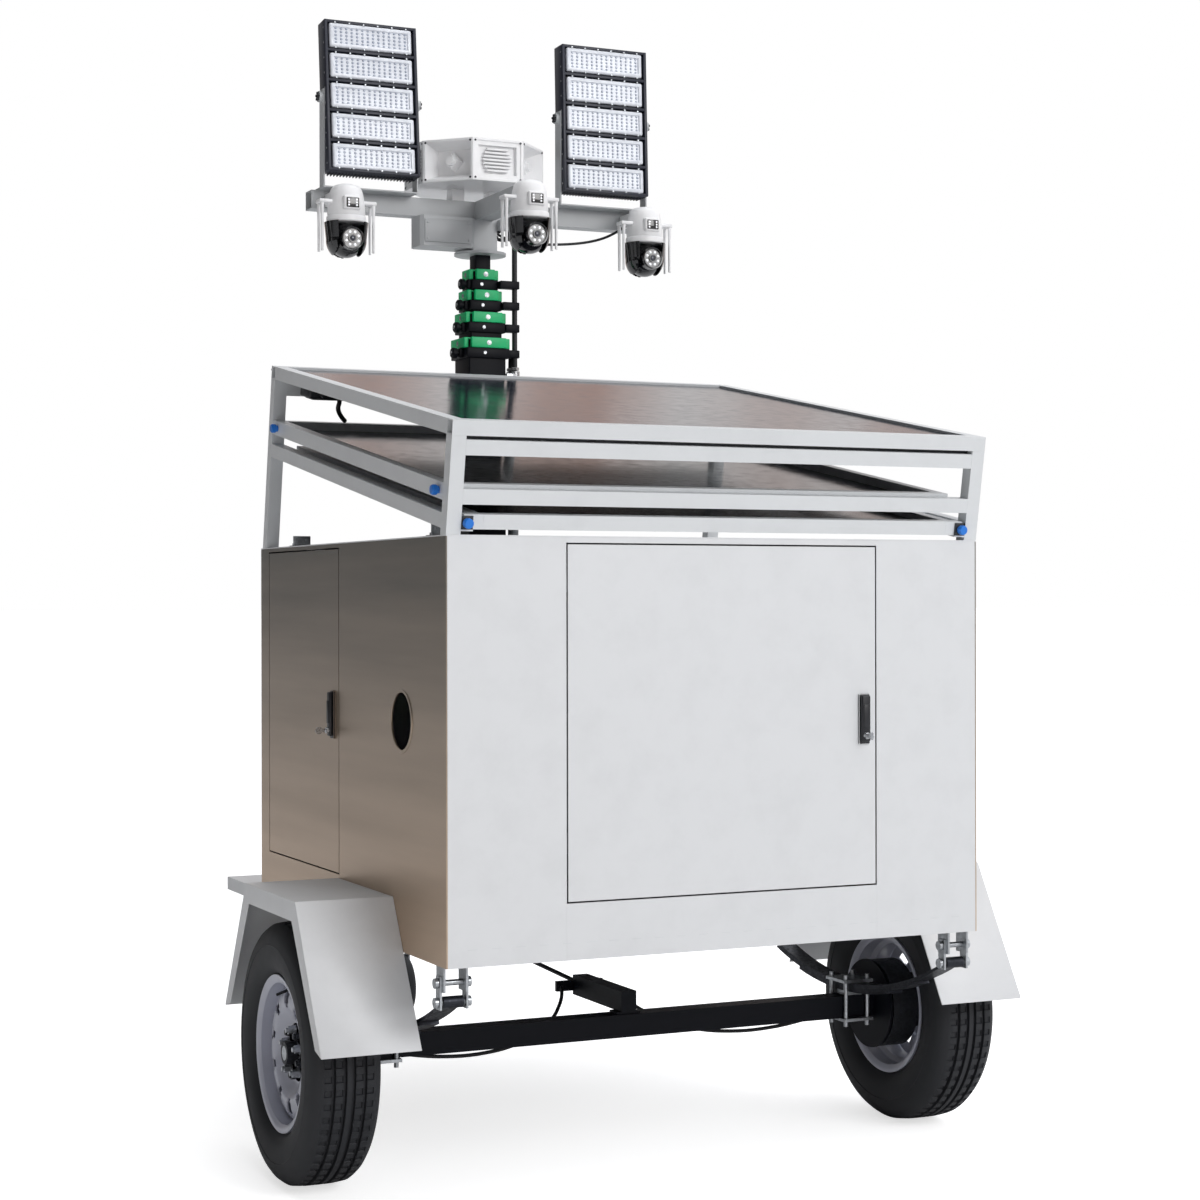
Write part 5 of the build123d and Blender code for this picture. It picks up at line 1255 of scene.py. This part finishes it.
# a black strip fills the slot between the top rails: painted shade for that gap
block_in(shape, (-HALF + 0.038, 0.020, SLOT_LOW), (HALF - 0.038, 0.024, SLOT_HIGH), 0.001)
bmesh.ops.transform(shape, matrix=cage_frame, verts=shape.verts)
piece("slot_shade_strip", shape, "chassis", BLACK_PLASTIC)
shape = bmesh.new()
for turn in (-1, 1):
    for y, z in ((CAGE_LOW.y + 0.032, ROOF + 0.2556), (CAGE_HIGH.y - 0.048, CAGE_HIGH.z - 0.0052)):
        spot = Vector((turn * (HALF - 0.020), y, z))
        part = bmesh.new()
        bar_in(part, (0, 0, -0.004), (0, 0, 0.0012), 0.0085, 6)
        bar_in(part, (0, 0, -0.004), (0, 0, 0.0032), 0.0045, 16)
        join_in(shape, part, Matrix.Translation(spot) @ TILT)
piece("cage_bolts", shape, "chassis", ZINC)

# %% [markdown]
# ## Drawer corners
# Each drawer is locked at its corners by a spring pin. A plate, fixed with two round-headed
# screws, carries the pin; its dark colour is painted shade, so the corner reads dark behind the
# blue knob.

# %% Drawer corner plates
for end, turn in (("left", -1), ("right", 1)):
    knob = middle(f"rear_drawer_knob_{end}")
    face = knob + DOWN_SLOPE * 0.0028
    part = bmesh.new()
    block_in(part, (-0.0165, -0.0008, -0.0165), (0.0165, 0.0002, 0.0165), 0.0003)
    for rise in (-0.0125, 0.0125):
        screw = Vector((turn * 0.0135, -0.0006, rise))
        stud_in(part, screw, BACK, 0.0018, 0.0028, 14, 0.0020)
    plate_turn = Matrix.Translation(face) @ TILT
    # the plate's dark iron colour is painted shade for the corner behind the knob
    piece(f"rear_drawer_plate_{end}", part, "rear_drawer", DRUM_IRON, plate_turn)

# %% [markdown]
# ## Head of the mast
# Lamp and camera leads leave the column through a cluster of black cable glands, and one slack
# lead hangs under the right arm. The lamp brackets are held by black wing knobs.

# %% Cable glands and slack leads
shape = bmesh.new()
for x, z in ((-0.030, 2.628), (0.000, 2.640), (0.018, 2.608)):
    side_face = Vector((0.0378, MAST_Y - 0.008 + x * 0.4, z - 0.050))
    nut_end = side_face + Vector((0.008, 0, 0))
    bar_in(shape, side_face, nut_end, 0.0115, 6)
    bar_in(shape, nut_end, side_face + Vector((0.020, 0, 0)), 0.0100, 20, 0.0075)
piece("head_cable_glands", shape, "head", BLACK_PLASTIC)
pipe(
    "head_slack_lead",
    [
        (0.054, MAST_Y - 0.008, 2.570),
        (0.085, MAST_Y - 0.030, 2.545),
        (0.180, MAST_Y - 0.040, 2.540),
        (0.330, MAST_Y - 0.050, 2.552),
        (0.415, MAST_Y - 0.090, 2.580),
        (0.455, MAST_Y - 0.110, 2.618),
    ],
    0.0040,
    "head",
    SLEEVE,
)
pipe(
    "head_cable_loop",
    [
        (0.054, MAST_Y - 0.020, 2.590),
        (0.074, MAST_Y - 0.034, 2.592),
        (0.086, MAST_Y - 0.036, 2.570),
        (0.074, MAST_Y - 0.034, 2.545),
        (0.054, MAST_Y - 0.018, 2.552),
    ],
    0.0055,
    "head",
    SLEEVE,
)

# %% Head box lid and lamp wing knobs
low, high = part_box("head_box")
shape = bmesh.new()
lid_low = (low.x + 0.012, low.y - 0.0042, low.z + 0.012)
block_in(shape, lid_low, (high.x - 0.012, low.y - 0.0002, high.z - 0.012), 0.0018)
for x in (low.x + 0.022, high.x - 0.022):
    for z in (low.z + 0.022, high.z - 0.022):
        bar_in(shape, (x, low.y - 0.004, z), (x, low.y - 0.006, z), 0.0038, 14, 0.0030)
piece("head_box_lid", shape, "head", GREY_COAT)
for name in LAMP_TILT:
    centre = middle(f"{name}_lamp")
    shape = bmesh.new()
    for turn in (-1, 1):
        seat = Vector((centre.x + turn * (LAMP_WIDTH / 2 + 0.0095), centre.y, centre.z))
        out = Vector((turn, 0, 0))
        stud_in(shape, seat, out, 0.008, 0.0120, tip=0.0105)
        for lobe in range(5):
            spoke = Matrix.Rotation(lobe * 2 * pi / 5, 3, out) @ Vector((0, 0, 0.0095))
            stud_in(shape, seat + spoke, out, 0.010, 0.0048, 12, 0.0040)
    piece(f"{name}_lamp_knobs", shape, "head", BLACK_PLASTIC)

# %% [markdown]
# ## Cabinet hardware
# Plug welds show as a row of faint marks along the lower edge. The port has a small rounded
# rim in the side's own coat, so its edge is soft, and the front deck has a raised tread.

# %% Plug welds, port rim and deck tread
shape = bmesh.new()
for step in range(23):
    x = -0.660 + step * 0.060
    low = (x - 0.012, REAR - 0.0004, CABINET_LOW.z + 0.040)
    block_in(shape, low, (x + 0.012, REAR + 0.0002, CABINET_LOW.z + 0.0418), 0.0002, 1)
piece("plug_welds", shape, "chassis", CAGE_COAT)
PORT = Vector((-0.7235, REAR + 0.301, 1.157))
shape = bmesh.new()
ring = ((0.0018, 0.0690), (0.0034, 0.0700), (0.0034, 0.0765), (0.0017, 0.0780))
turned_in(shape, ring, PORT, (-1, 0, 0), 64, closed=True)
piece("port_grommet", shape, "chassis", SIDE_COAT)
shape = bmesh.new()
deck_low, deck_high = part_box("front_deck")
for column in range(17):
    for row in range(4):
        x = -0.640 + column * 0.080 + (row % 2) * 0.020
        y = deck_low.y + 0.060 + row * 0.075
        if abs(x) < 0.16 or x > 0.66:
            continue
        part = bmesh.new()
        block_in(part, (-0.016, -0.003, -0.0004), (0.016, 0.003, 0.0014), 0.0012, 2)
        turn = Matrix.Rotation(radians(45 if (column + row) % 2 else -45), 4, "Z")
        join_in(shape, part, Matrix.Translation((x, y, deck_high.z)) @ turn)
piece("deck_tread", shape, "chassis", WHITE_COAT)

# %% [markdown]
# ## Drawbar
# The coupling slides in its housing when the trailer pushes, and a rubber bellows keeps the
# slide clean. One end of the bellows belongs to the housing and the other to the coupling;
# here it is one fixed ribbed sleeve with no body. The jockey wheel is a small turned wheel with a
# solid tyre.

# %% Bellows
housing_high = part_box("coupling_housing")[1]
BELLOWS_Z = 0.5398
ribs = 9
start, stop = housing_high.y + 0.0004, housing_high.y + 0.080
profile = []
for rib in range(ribs):
    along = (stop - start) * rib / (ribs - 1)
    profile.append((along, 0.034 if rib % 2 else 0.042))
shape = bmesh.new()
turned_in(shape, profile, (0, start, BELLOWS_Z), (0, 1, 0), 40)
bmesh.ops.recalc_face_normals(shape, faces=shape.faces)
bmesh.ops.solidify(shape, geom=list(shape.faces), thickness=0.0015)
bellows = piece("coupling_bellows", shape, None, SLEEVE)
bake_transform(bellows)

# %% Jockey wheel
low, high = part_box("jockey_wheel")
centre = middle("jockey_wheel")
wheel_half = (high.x - low.x) / 2
shape = bmesh.new()
section = (
    (-wheel_half + 0.004, 0.072), (-wheel_half, 0.078), (-wheel_half, 0.098),
    (-wheel_half + 0.006, 0.1065), (-wheel_half + 0.014, 0.110), (wheel_half - 0.014, 0.110),
    (wheel_half - 0.006, 0.1065), (wheel_half, 0.098), (wheel_half, 0.078),
    (wheel_half - 0.004, 0.072),
)
turned_in(shape, section, centre, (1, 0, 0), 64, closed=True)
tread = piece("jockey_tyre", shape, "jockey_wheel", RUBBER)
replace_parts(tread, "jockey_wheel")
shape = bmesh.new()
disc = (
    (-0.024, 0.0735), (-0.024, 0.066), (-0.006, 0.060), (-0.005, 0.026), (-0.026, 0.021),
    (-0.026, 0.0104), (0.026, 0.0104), (0.026, 0.021), (0.005, 0.026), (0.006, 0.060),
    (0.024, 0.066), (0.024, 0.0735),
)
turned_in(shape, disc, centre, (1, 0, 0), 64, closed=True)
piece("jockey_disc", shape, "jockey_wheel", ZINC)

# %% [markdown]
# ## Camera, floor and light
# The camera stands behind the trailer's left corner, about as high as the cabinet's roof, and
# looks level. A wide pale floor, two large soft lights and a small warm one to the left give
# the even studio look.

# %% Camera
CAMERA_PLACE = Vector((-2.641, REAR - 4.993, 1.444))
CAMERA_TURN = radians(24.79)
lens = bpy.data.cameras.new("studio_camera")
lens.lens = 69.65
lens.sensor_width = 36.0
camera = bpy.data.objects.new("studio_camera", lens)
camera.location = CAMERA_PLACE
camera.rotation_euler = (radians(90.05), radians(0.106), -CAMERA_TURN)
bpy.context.scene.collection.objects.link(camera)
bpy.context.scene.camera = camera

# %% Floor
floor_mesh = bpy.data.meshes.new("studio_floor")
shape = bmesh.new()
bmesh.ops.create_grid(shape, x_segments=1, y_segments=1, size=400.0)
shape.to_mesh(floor_mesh)
shape.free()
floor = bpy.data.objects.new("studio_floor", floor_mesh)
bpy.context.scene.collection.objects.link(floor)
matt = Finish("studio_floor")
paler, pale = (0.94, 0.94, 0.94, 1.0), (0.92, 0.92, 0.92, 1.0)
matt.set(base_color=matt.blend(matt.noise(0.8), pale, paler), roughness=0.9)
camera_sees = matt.node("ShaderNodeLightPath")
glow = matt.blend(camera_sees, (0.0, 0.0, 0.0, 1.0), paler)
matt.set(emission_color=glow, emission_strength=0.7, specular_ior_level=0.0)
floor_mesh.materials.append(matt.material)


# %% Lights
def soft_light(name, place, aim, size, power, tint=(1.0, 1.0, 1.0)):
    lamp = bpy.data.lights.new(name, "AREA")
    lamp.shape = "RECTANGLE"
    lamp.size, lamp.size_y = size
    lamp.energy = power
    lamp.color = tint
    holder = bpy.data.objects.new(name, lamp)
    holder.location = place
    holder.rotation_euler = (Vector(aim) - Vector(place)).to_track_quat("-Z", "Y").to_euler()
    bpy.context.scene.collection.objects.link(holder)


soft_light("rear_key", (2.4, -8.0, 4.6), (0.0, REAR, 1.3), (4.0, 3.0), 200)
soft_light("overhead", (0.5, -1.0, 8.0), (0.0, 0.0, 0.0), (5.0, 5.0), 120)
soft_light("left_low", (-4.2, -3.6, 0.7), (-0.7, -1.0, 0.8), (2.0, 1.2), 9, (1.0, 0.88, 0.78))

# %% [markdown]
# A white room alone would wash every glossy face out. The camera sees plain white, but glass
# and satin paint mirror a softer yard: a pale sky over a band of brown, grey and green patches
# near the horizon, and a darker side to the left.

# %% World
world = bpy.data.worlds.new("studio_world")
world.use_nodes = True
bpy.context.scene.world = world
nodes, links = world.node_tree.nodes, world.node_tree.links


def world_node(kind, settings, inputs):
    made = nodes.new(kind)
    for key, value in settings.items():
        setattr(made, key, value)
    for key, value in inputs.items():
        if isinstance(value, bpy.types.NodeSocket):
            links.new(value, made.inputs[key])
        else:
            made.inputs[key].default_value = value
    return made.outputs


way = nodes.new("ShaderNodeTexCoord").outputs["Generated"]
across, _, rise = world_node("ShaderNodeSeparateXYZ", {}, {0: way})
low_part = world_node("ShaderNodeMapRange", {}, {0: rise, 1: 0.20, 2: 0.46, 3: 1.0, 4: 0.0})[0]
left_part = world_node("ShaderNodeMapRange", {}, {0: across, 1: 0.0, 2: -0.45, 3: 0.0, 4: 1.0})[0]
stretched = world_node("ShaderNodeMapping", {}, {0: way, 3: (1.0, 1.0, 0.25)})[0]
blotches = {"Vector": stretched, "Scale": 7.0, "Detail": 3.0}
patches = world_node("ShaderNodeTexNoise", {}, blotches)[0]
tones = world_node("ShaderNodeValToRGB", {}, {0: patches})[0]
ramp = nodes["Color Ramp"].color_ramp
ramp.elements[0].position, ramp.elements[0].color = 0.36, shade(92, 118, 112)
ramp.elements[1].position, ramp.elements[1].color = 0.66, shade(150, 152, 156)
ramp.elements.new(0.46).color = shade(184, 146, 130)
ramp.elements.new(0.56).color = shade(226, 222, 220)
mixing = {"data_type": "RGBA"}
sky = world_node("ShaderNodeMix", mixing, {0: low_part, 6: shade(246, 248, 252), 7: tones})[2]
yard = world_node("ShaderNodeMix", mixing, {0: left_part, 6: sky, 7: shade(52, 52, 50)})[2]
seen = nodes.new("ShaderNodeLightPath").outputs["Is Camera Ray"]
room = world_node("ShaderNodeMix", mixing, {0: seen, 6: yard, 7: (1.0, 1.0, 1.0, 1.0)})[2]
links.new(room, nodes["Background"].inputs["Color"])
nodes["Background"].inputs["Strength"].default_value = 1.0
bpy.context.scene.view_settings.view_transform = "Standard"
